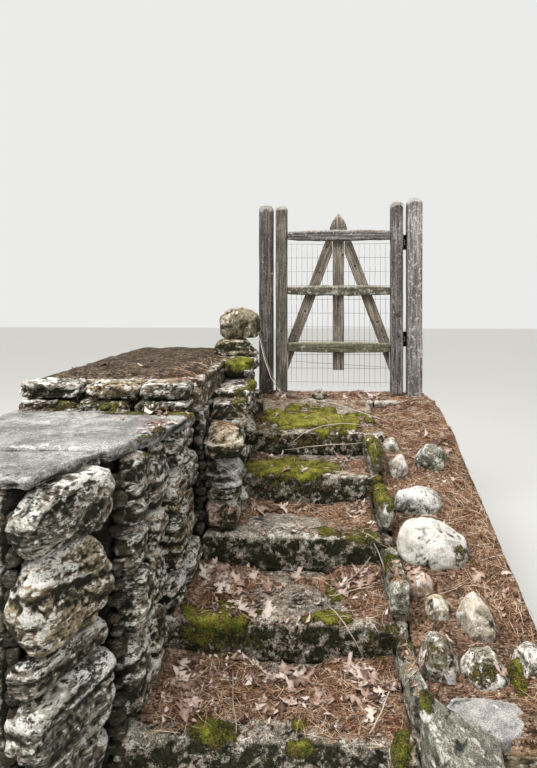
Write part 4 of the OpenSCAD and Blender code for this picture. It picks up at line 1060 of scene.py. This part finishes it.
def leaf_points(middle, size, stations, lobes):
    """An oak leaf, folded, curled and twisted.

    Its half width is size * (sin(pi u^0.9)^0.8 * (0.10 + 0.24 wave) + 0.012). The wave makes lobes
    that alternate on the two sides of the midrib and point forward."""
    heading, phase = draws.uniform(0, 6.3, 2)
    fold, curl, twist = draws.uniform(-0.5, 0.7), draws.uniform(-0.9, 1.7), draws.normal(0, 0.7)
    u, v = np.meshgrid(np.linspace(0, 1, stations), (-1, 0, 1), indexing="ij")
    wave = (0.5 + 0.5 * np.cos(2 * np.pi * (lobes * u + 0.4 * (v > 0)) + phase)) ** 0.8
    across = v * size * (np.sin(np.pi * u ** 0.9) ** 0.8 * (0.10 + 0.24 * wave) + 0.012)
    along = (u - 0.5) * size + 0.10 * size * wave * np.abs(v)
    z = fold * np.abs(across) + (curl * along ** 2 + twist * along * across) / size
    x, y = turned(*middle, heading, along, across)
    return np.stack([x, y, z], 2).reshape(-1, 3)


def leaf_piece(name, middles, sizes, stations, lobes):
    """Many leaves that lie on the ground: each leans with the slope and rests on its lower parts."""
    sets = []
    for middle in middles:
        leaf = leaf_points(middle, draws.uniform(*sizes), stations, lobes)
        under = ground_z(leaf[:, 0], leaf[:, 1])
        if np.ptp(under) > 0.045 or under.min() < 0:
            continue
        for k in (0, 1):
            slope = np.polyfit(leaf[:, k] - middle[k], under, 1)[0]
            leaf[:, 2] += (leaf[:, k] - middle[k]) * (0.7 * slope + draws.normal(0, 0.08))
        leaf[:, 2] += np.quantile(under - leaf[:, 2], 0.70) + draws.uniform(0.001, 0.009)
        sets.append(leaf)
    one = grid_quads(stations, 3)[:, ::-1]
    faces = np.concatenate([one + 3 * stations * k for k in range(len(sets))])
    ribs = np.tile([-0.07, 0.16, 0.02], stations) + 0.05 * np.sin(np.arange(3 * stations) / 3)
    made = mesh_piece(name, np.concatenate(sets), faces, oak_leaf, "mossy_stone",
                      marks={"tint": (draws.random((len(sets), 1)) + ribs).ravel()})
    shell = made.modifiers.new("thickness", "SOLIDIFY")
    shell.thickness = 0.0008
    shell.offset = 1


def around_spots(times, wider):
    """Places of leaves round the spots where the photograph shows heaps."""
    return np.concatenate([draws.normal((cx, cy), 0.6 * wider * spread, (times * count, 2))
                           for cx, cy, spread, count in LEAF_SPOTS])


leaf_piece("oak_leaves", around_spots(1, 1.0), (0.045, 0.100), 17, 3.2)
scraps = np.concatenate([around_spots(2, 1.5), np.stack(scatter(700), 1)])
leaf_piece("leaf_scraps", scraps, (0.016, 0.036), 5, 1.3)

# %% Twigs
x, y = scatter(150)
heading = draws.uniform(0, 2 * np.pi, (len(x), 1))
reach = draws.uniform(0.03, 0.13, (len(x), 1)) * np.linspace(-1, 1, 6)
wander = np.cumsum(draws.normal(0, 0.006, (len(x), 6)), 1)
x, y = turned(x[:, None], y[:, None], heading, reach, wander)
z, lies = settled(x, y, 0.006, 0.85)
twigs = np.stack([x, y, z], 2)[lies]
rods("twigs", twigs, draws.uniform(0.0010, 0.0022, len(twigs)), twig, sides=5, tint=draws.random(len(twigs)))

# %% Fallen stems
STEMS = [((-0.13, 0.30, 0.180), (-0.10, 0.12, 0.185), (-0.077, -0.007, 0.165)),
         ((0.235, 0.511, 0.330), (0.306, 0.345, 0.335), (0.385, 0.350, 0.200)),
         ((-0.145, 1.90, 1.352), (-0.04, 1.85, 1.05), (0.10, 1.93, 0.955)),
         ((-0.150, 1.86, 1.352), (-0.07, 1.80, 1.10), (0.04, 1.86, 0.935)),
         ((-0.02, 1.90, 0.990), (0.20, 1.88, 0.945), (0.40, 1.68, 0.920)),
         ((0.10, 1.93, 0.955), (0.40, 1.70, 0.925), (0.655, 1.52, 0.870)),
         ((0.05, 1.525, 0.713), (0.25, 1.515, 0.845), (0.51, 1.53, 0.850)),
         ((0.03, 1.51, 0.700), (0.27, 1.50, 0.735), (0.50, 1.49, 0.760)),
         ((0.36, 0.01, 0.175), (0.42, 0.10, 0.195), (0.47, 0.24, 0.185)),
         ((0.30, 0.62, 0.345), (0.38, 0.70, 0.360), (0.47, 0.80, 0.42)),
         ((0.42, 0.95, 0.50), (0.47, 0.80, 0.47), (0.50, 0.62, 0.42))]

# A stem is the parabola through its end, its middle and its other end, bent a little by noise.
t = np.linspace(0, 1, 9)[None, :, None]
first, middle, last = (np.array(STEMS)[:, k, None] for k in range(3))
stems = first * (1 - t) ** 2 + (4 * middle - first - last) * t * (1 - t) + last * t ** 2
sway = [noise(stems.reshape(-1, 3), 0.05, k).reshape(stems.shape[:2]) for k in (1, 2, 3)]
stems = stems + 0.006 * np.stack(sway, 2)
rods("fallen_stems", stems, draws.uniform(0.0018, 0.0032, len(stems)), twig, sides=6,
     tint=draws.uniform(0.3, 1, len(stems)))


# %% Small stones
PEBBLE_RINGS, PEBBLE_SIDES = 6, 10


def pebbles(name, middles, halves, material, seed):
    """Small rough stones: balls of rings, pressed to their half sizes and dented by noise.

    A ball's point is (cos u cos a, cos u sin a, sin u), and its far parts are pressed flat."""
    turn = np.linspace(0, 2 * np.pi, PEBBLE_SIDES, endpoint=False)
    around, up = np.meshgrid(turn, np.linspace(-1.25, 1.25, PEBBLE_RINGS))
    ball = np.stack([np.cos(up) * np.cos(around), np.cos(up) * np.sin(around), np.sin(up)], 2).reshape(-1, 3)
    balls = np.tile(ball, (len(middles), 1))
    shifted = balls + np.repeat(7.0 * np.arange(len(middles)), len(ball))[:, None]
    dents = 1 + 0.36 * noise(shifted, 0.9, seed) + 0.22 * noise(shifted, 0.45, seed)
    balls = np.clip(balls * dents[:, None], -0.82, 0.82)
    points = np.repeat(middles, len(ball), 0) + np.repeat(halves, len(ball), 0) * balls
    # A relief of -0.4 gives each small stone the painted shade of a hollow, and damp 0.5 adds wet patches
    # with painted shade.
    marks = {"tint": np.repeat(draws.random(len(middles)), len(ball)), "moss": patches(points),
             "relief": -0.4, "ridge": 0.0, "damp_and_shade": 0.5, "layer": 1.0}
    faces = capped(len(middles), PEBBLE_RINGS, PEBBLE_SIDES)
    mesh_piece(name, points, faces, material, "mossy_stone", marks=marks)


# %% Packing stones and gravel
inner = np.array([(-0.350, 0.806, z) for z in np.arange(0.52, 1.05, 0.058)])
outer = np.array([(-0.476, -0.014, z) for z in np.arange(0.05, 1.03, 0.055)])
corner = outer + (-0.198, -0.308, 0)
packing = np.concatenate([inner, outer]) + draws.normal(0, 0.005, (len(inner) + len(outer), 3))
halves = draws.uniform((0.022, 0.022, 0.012), (0.038, 0.034, 0.030), packing.shape)
halves[len(inner):] *= 1.1
stray = 0.006 * np.stack([hashed(np.arange(len(corner)), k) for k in (1, 2, 3)], 1)
three_sizes = [(0.024, 0.022, 0.032), (0.020, 0.020, 0.026), (0.027, 0.023, 0.029)]
packing = np.concatenate([packing, corner + stray])
halves = np.concatenate([halves, np.resize(three_sizes, corner.shape)])
pebbles("packing_stones", packing, halves, fieldstone, 5)

count = 150
edge_y = 0.575
x = draws.uniform(-1.10, -0.36, count)
y = edge_y - np.abs(draws.normal(0, 0.022, count))
size = draws.uniform(0.006, 0.019, (count, 1)) * draws.uniform(0.6, 1.2, (count, 3))
pebbles("gravel", level(x, y, ground_z(x, y)), size, benchstone, 6)

# %% Pine cone
# Its scales stand out in turn: the radius swells as the sine along the cone and jumps at every other
# ring, by turns outwards and inwards.
CONE_RINGS, CONE_SIDES = 19, 14
u, v = np.meshgrid(np.arange(CONE_RINGS), np.arange(CONE_SIDES), indexing="ij")
scale = 0.017 * np.sin(np.pi * (u + 0.6) / 19.2) ** 0.6 * (1 + 0.30 * (-1.0) ** (u + v) * (u % 2))
turn = 2 * np.pi * v / CONE_SIDES
cone = np.stack([0.262 + 0.0034 * (u - 9), 0.742 + scale * np.cos(turn), 0.352 + scale * np.sin(turn)], 2)
mesh_piece("pine_cone", cone.reshape(-1, 3), capped(1, CONE_RINGS, CONE_SIDES), cone_brown, "mossy_stone",
           marks={"tint": (scale / 0.022).ravel()})


# %% [markdown]
# ## Old timber
# The posts, stiles and rails are split cedar that has stood in the rain for decades: silver-grey,
# grooved where the soft spring wood has washed out, cracked along the grain. A timber is a closed
# tube of cross-sections: at each station the CAD solid gives the width and the depth, a rounded
# square fills them, and grooves that run along the grain are cut into its skin.

# %% Timber
def section_boxes(node, axis, stations):
    """The lowest and highest corners of a node's cross-section at each station along an axis.

    Every edge of the mesh that crosses the station adds the point where it crosses."""
    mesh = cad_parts[node].data
    corners = read(mesh.vertices, "co", 3).astype(float)
    loops = read(mesh.loops, "vertex_index", 1).reshape(-1, 3)
    a, b = (corners[loops[:, k]].reshape(-1, 3) for k in ([0, 1, 2], [1, 2, 0]))
    boxes = []
    for station in stations:
        crosses = (a[:, axis] - station) * (b[:, axis] - station) < 0
        t = (station - a[crosses, axis]) / (b[crosses, axis] - a[crosses, axis])
        met = a[crosses] + t[:, None] * (b[crosses] - a[crosses])
        boxes.append((met.min(0), met.max(0)))
    return np.array(boxes)


def timber(name, node, material, seed, slot="gate_timber", body="gate", axis=2, around=88, square=14,
           lean=0.0, grooves=0.0018, cracks=0.005, crusty=0.0):
    """A weathered timber in place of a CAD node, with its grain along an axis.

    The section's radius at an angle a is (|cos a|^p + |sin a|^p)^(-1/p) of the half sizes, where p is
    square. Grooves are noise drawn out 25 times along the grain, and cracks are where other drawn-out
    noise passes through zero."""
    low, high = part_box(node)
    planes = np.unique(np.round(read(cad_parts[node].data.vertices, "co", 3)[:, axis].astype(float), 4))
    stations = np.concatenate([np.arange(low[axis], high[axis], 0.022), planes - 0.0006, planes + 0.0006])
    stations = np.unique(np.clip(stations, low[axis] + 0.0003, high[axis] - 0.0003))
    boxes = section_boxes(node, axis, stations)
    middle, half = boxes.mean(1), (boxes[:, 1] - boxes[:, 0]) / 2
    u, v = [k for k in range(3) if k != axis]
    angle = 2 * np.pi * (np.arange(around) + 0.5) / around
    radius = (np.abs(np.cos(angle)) ** square + np.abs(np.sin(angle)) ** square) ** (-1 / square)
    points = np.zeros((len(stations), around, 3))
    points[:, :, axis] = stations[:, None]
    for side, wave in ((u, np.cos(angle)), (v, np.sin(angle))):
        points[:, :, side] = middle[:, side, None] + half[:, side, None] * radius * wave
    flat = points.reshape(-1, 3)
    along = flat[:, axis].copy()

    stretch = np.ones(3)
    stretch[axis] = 0.04
    leaned = flat.copy()
    leaned[:, 0] += math.tan(lean) * (flat[:, 2] - low.z)
    grain = (leaned + 0.37 * seed) * stretch
    inward = np.repeat(middle, around, 0) - flat
    inward[:, axis] = 0
    inward = unit(inward)
    crack = eased(1 - np.abs(noise(grain, 0.035, seed + 3)) / 0.05)
    crack *= eased(noise(leaned, 0.3, seed + 4) * 2 + 0.3)
    depth = grooves * (1 + noise(grain, 0.007, seed)) + 0.0012 * (1 + noise(flat, 0.09, seed + 6))
    depth += cracks * crack
    depth += crusty * (1 + rough(flat, 0.03, 3, seed + 7))
    near_end = np.minimum(along - low[axis], high[axis] - along)
    depth += 0.003 * (1 + noise(flat, 0.02, seed + 5)) * (1 - eased(near_end / 0.03))
    thin = np.repeat(np.minimum(half[:, u], half[:, v]), around)
    flat = flat + np.minimum(depth, 0.35 * thin)[:, None] * inward

    # The sky mark is where a painted highlight goes: a band at the top of an upright, the upper side of a
    # rail.
    if axis == 2:
        sky_highlight = eased(1.3 - (high.z - along) / (0.060 + 0.035 * noise(flat, 0.03, seed)))
    else:
        sky_highlight = np.clip(-inward[:, 2], 0, 1)
    marks = {"grain": grain, "crack": crack, "worn": np.clip(depth / 0.004, 0, 1), "sky_highlight": sky_highlight}
    return mesh_piece(name, flat, capped(1, len(stations), around), material, slot, body, marks, node)


# %% Old timber finish
def timber_material(name, shades, lichen, crust, green=0.0, knots=0.5):
    """Rain-washed cedar: three greys in streaks along the grain, dark cracks, lichen, knots, and a
    painted highlight on its top.
    """
    material, add = new_material(name)
    place = add("TexCoord", out="Object")
    grain = add("Attribute", out="Vector", attribute_name="grain")
    crack, worn, sky_highlight = (add("Attribute", out="Fac", attribute_name=mark) for mark in ("crack", "worn", "sky_highlight"))
    streak = add("TexNoise", grain, size=0.011, detail=9, roughness=0.75)
    fibre = add("TexNoise", grain, size=0.0028, detail=4, roughness=0.7)
    flecks = add("TexNoise", place, size=0.009, detail=6, roughness=0.75)
    stains = add("TexNoise", place, size=0.16, detail=3, roughness=0.6)
    rosettes = add("TexNoise", place, size=0.022, detail=9, roughness=0.66)
    knot = add("TexVoronoi", place, size=0.17)
    grey = weighed(add, streak, (fibre, 0.5), (flecks, 0.5))
    body = add("ValToRGB", grey, stops=((0.38, 0.5, 0.62), shades))
    body = coat(add, body, shades[0], stains, 0.42, 0.65, 0, 0.45)
    body = coat(add, body, "#2a211a", knot, 0.085, 0.05, 0, knots)
    body = coat(add, body, crust, weighed(add, rosettes, (fibre, 0.15)), lichen, lichen + 0.05, 0, 0.85)
    if green:
        algae = add("TexNoise", place, size=0.12, detail=5, roughness=0.6)
        body = coat(add, body, "#4b4f33", algae, 0.35, 0.6, 0, green)
    body = coat(add, body, "#3a342c", worn, 0.5, 1.0, 0, 0.35)
    # Painted highlight on the top, in the pale crust colour, broken up by flecks.
    body = coat(add, body, crust, sky_highlight, 0.55, 0.85, share=add("MapRange", flecks, 0.42, 0.55, 0.2, 0.85))
    body = coat(add, body, "#1b1714", crack, 0.3, 0.9, 0, 0.85)
    bump = add("Bump", height=add("Math", streak, fibre, operation="ADD"), distance=0.003, strength=0.7)
    return painted(material, {"Base Color": body, "Roughness": 0.88, "Specular IOR Level": 0.25,
                              "Normal": bump})


# Split cedar: silver-grey in sun and rain, brown or green-grey where it stays damp, and crusted with
# pale lichen where it is oldest.
brown_cedar = timber_material("brown_grey_cedar", ("#272220", "#544c48", "#827a74"), 0.62, "#a8a19a")
green_cedar = timber_material("green_grey_cedar", ("#302d27", "#69635a", "#a09a8e"), 0.64, "#b9b5a8", 0.2)
hinge_cedar = timber_material("grey_stile_cedar", ("#2a2725", "#66615e", "#a8a29e"), 0.60, "#bdb8b2")
silver_cedar = timber_material("lichened_cedar", ("#4e4a49", "#86817f", "#b8b5b3"), 0.555, "#c6c3bf")
rail_cedar = timber_material("silver_rail_cedar", ("#2b2523", "#675e5b", "#aaa29e"), 0.60, "#cfc9c1")
mossy_rail = timber_material("lichened_rail_cedar", ("#2c2822", "#5f574c", "#8a8274"), 0.53, "#c2c0ad", 0.25)
low_rail = timber_material("damp_rail_cedar", ("#2f2c23", "#625d4f", "#8f8976"), 0.57, "#b3b095", 0.4)
board_cedar = timber_material("grey_board_cedar", ("#3f3832", "#746a5f", "#a89e91"), 0.64, "#b9b2a6",
                              knots=0.9)


# %% Posts and gate leaf
timber("left_post", "left_gate_post", brown_cedar, 1, "post_timber", "root")
timber("right_post", "right_gate_post", silver_cedar, 2, "post_timber", "root")
timber("latch_stile_timber", "latch_stile", green_cedar, 3)
timber("hinge_stile_timber", "hinge_stile", hinge_cedar, 4)
timber("top_rail_timber", "top_rail", rail_cedar, 5, axis=0, square=9)
timber("middle_rail_timber", "middle_rail", mossy_rail, 6, axis=0, square=7, crusty=0.0022)
timber("bottom_rail_timber", "bottom_rail", low_rail, 7, axis=0, square=9)
BRACE_LEAN = math.radians(20.8)
BOARDS = (("centre_picket", 0, 8), ("left_brace", -BRACE_LEAN, 9), ("right_brace", BRACE_LEAN, 10))
for node, lean, seed in BOARDS:
    timber(f"{node}_board", node, board_cedar, seed, around=64, square=16, lean=lean, grooves=0.0010,
           cracks=0.002)


# %% [markdown]
# ## Wire and iron
# The mesh is welded fabric of thin wire, rusted dark. No two wires are quite straight any more, so
# each wanders by a millimetre or two. The hinges are black iron gone brown.

# %% Iron finishes
def iron_material(name, shades, metallic, roughness):
    """Rusted iron: brown patches over black, rough, with a little metal left."""
    material, add = new_material(name)
    place = add("TexCoord", out="Object")
    rust = add("TexNoise", place, size=0.014, detail=7, roughness=0.7)
    scale = add("TexNoise", place, size=0.003, detail=6, roughness=0.7)
    colour = add("ValToRGB", rust, stops=((0.38, 0.5, 0.62), shades))
    bump = add("Bump", height=scale, distance=0.0008, strength=0.6)
    return painted(material, {"Base Color": colour, "Metallic": metallic, "Roughness": roughness,
                              "Normal": bump})


# Zinc-coated fence wire gone dull and brown, and black iron with rust at its edges.
wire_steel = iron_material("rusted_fence_wire", ("#231e1b", "#3a3430", "#57514c"), 0.4, 0.65)
hinge_black = iron_material("black_hinge_iron", ("#191715", "#262220", "#4a3427"), 0.6, 0.7)

# %% Wire mesh
WIRE_X, WIRE_Z, WIRE_R = 0.0381, 0.1016, 0.0013
SAG_Z, SAG_TILT = 0.223, math.radians(3.4)
mesh_low, mesh_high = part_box("wire_mesh")
across, upward = (mesh_low.x, mesh_high.x), (mesh_low.z, mesh_high.z)
spaces = round((mesh_high.x - mesh_low.x) / WIRE_X)
uprights = np.linspace(mesh_low.x + WIRE_R, mesh_high.x - WIRE_R, spaces + 1)
levels = np.arange(mesh_high.z - 2 * WIRE_R, mesh_low.z, -WIRE_Z)
drop = math.tan(SAG_TILT) * (mesh_high.x - mesh_low.x) / 2
near_y = mesh_low.y + WIRE_R
far_y = near_y + 1.7 * WIRE_R


def wires(x, y, z, seed):
    """Wires at one depth from (x[0], z[0]) to (x[1], z[1]), where a place may be one for them all.

    They are bent by hands and weather: up to 2 mm sideways and away from the boards."""
    t = np.linspace(0, 1, 24)
    x, z = (np.reshape(a, (-1, 1)) * (1 - t) + np.reshape(b, (-1, 1)) * t for a, b in (x, z))
    x, z = np.broadcast_arrays(x, z)
    points = np.stack([x, 0 * x + y, z], 2).reshape(-1, 3)
    sway = [noise(points, 0.12, seed), 0.5 + 0.5 * noise(points, 0.2, seed + 1),
            noise(points, 0.12, seed + 2)]
    return (points + 0.0018 * np.stack(sway, 1)).reshape(*x.shape, 3)


lines = np.concatenate([wires((uprights, uprights), near_y, upward, 91),
                        wires(across, far_y, (levels, levels), 92),
                        wires(across, far_y, (SILL_Z + SAG_Z + drop, SILL_Z + SAG_Z - drop), 93)])
rods("welded_mesh", lines, WIRE_R, wire_steel, "mesh_wire", sides=6, body="gate", replaces="wire_mesh")

# %% Nails and hinges
# Each nail: the timber that it is in, its height and its share of the timber's width.
NAILS = [("left_brace", 1.990, 0.40), ("left_brace", 1.805, 0.50), ("left_brace", 1.520, 0.55),
         ("left_brace", 1.340, 0.40), ("right_brace", 1.850, 0.45), ("right_brace", 1.443, 0.55),
         ("right_brace", 1.330, 0.60), ("centre_picket", 1.930, 0.85), ("centre_picket", 1.560, 0.45),
         ("hinge_stile", 1.496, 0.45), ("hinge_stile", 1.342, 0.60), ("latch_stile", 1.380, 0.50)]
heads = []
for node, z, share in NAILS:
    low, high = section_boxes(node, 2, [z])[0]
    x, y = low[0] + share * (high[0] - low[0]), low[1]
    heads.append([(x, y + 0.006, z), (x, y - 0.001, z)])
rods("nail_heads", np.array(heads), 0.015, wire_steel, "hinge_iron", sides=10, body="gate")

dressed("post_hinge_leaves", hinge_black)
dressed("gate_hinge_leaves", hinge_black)
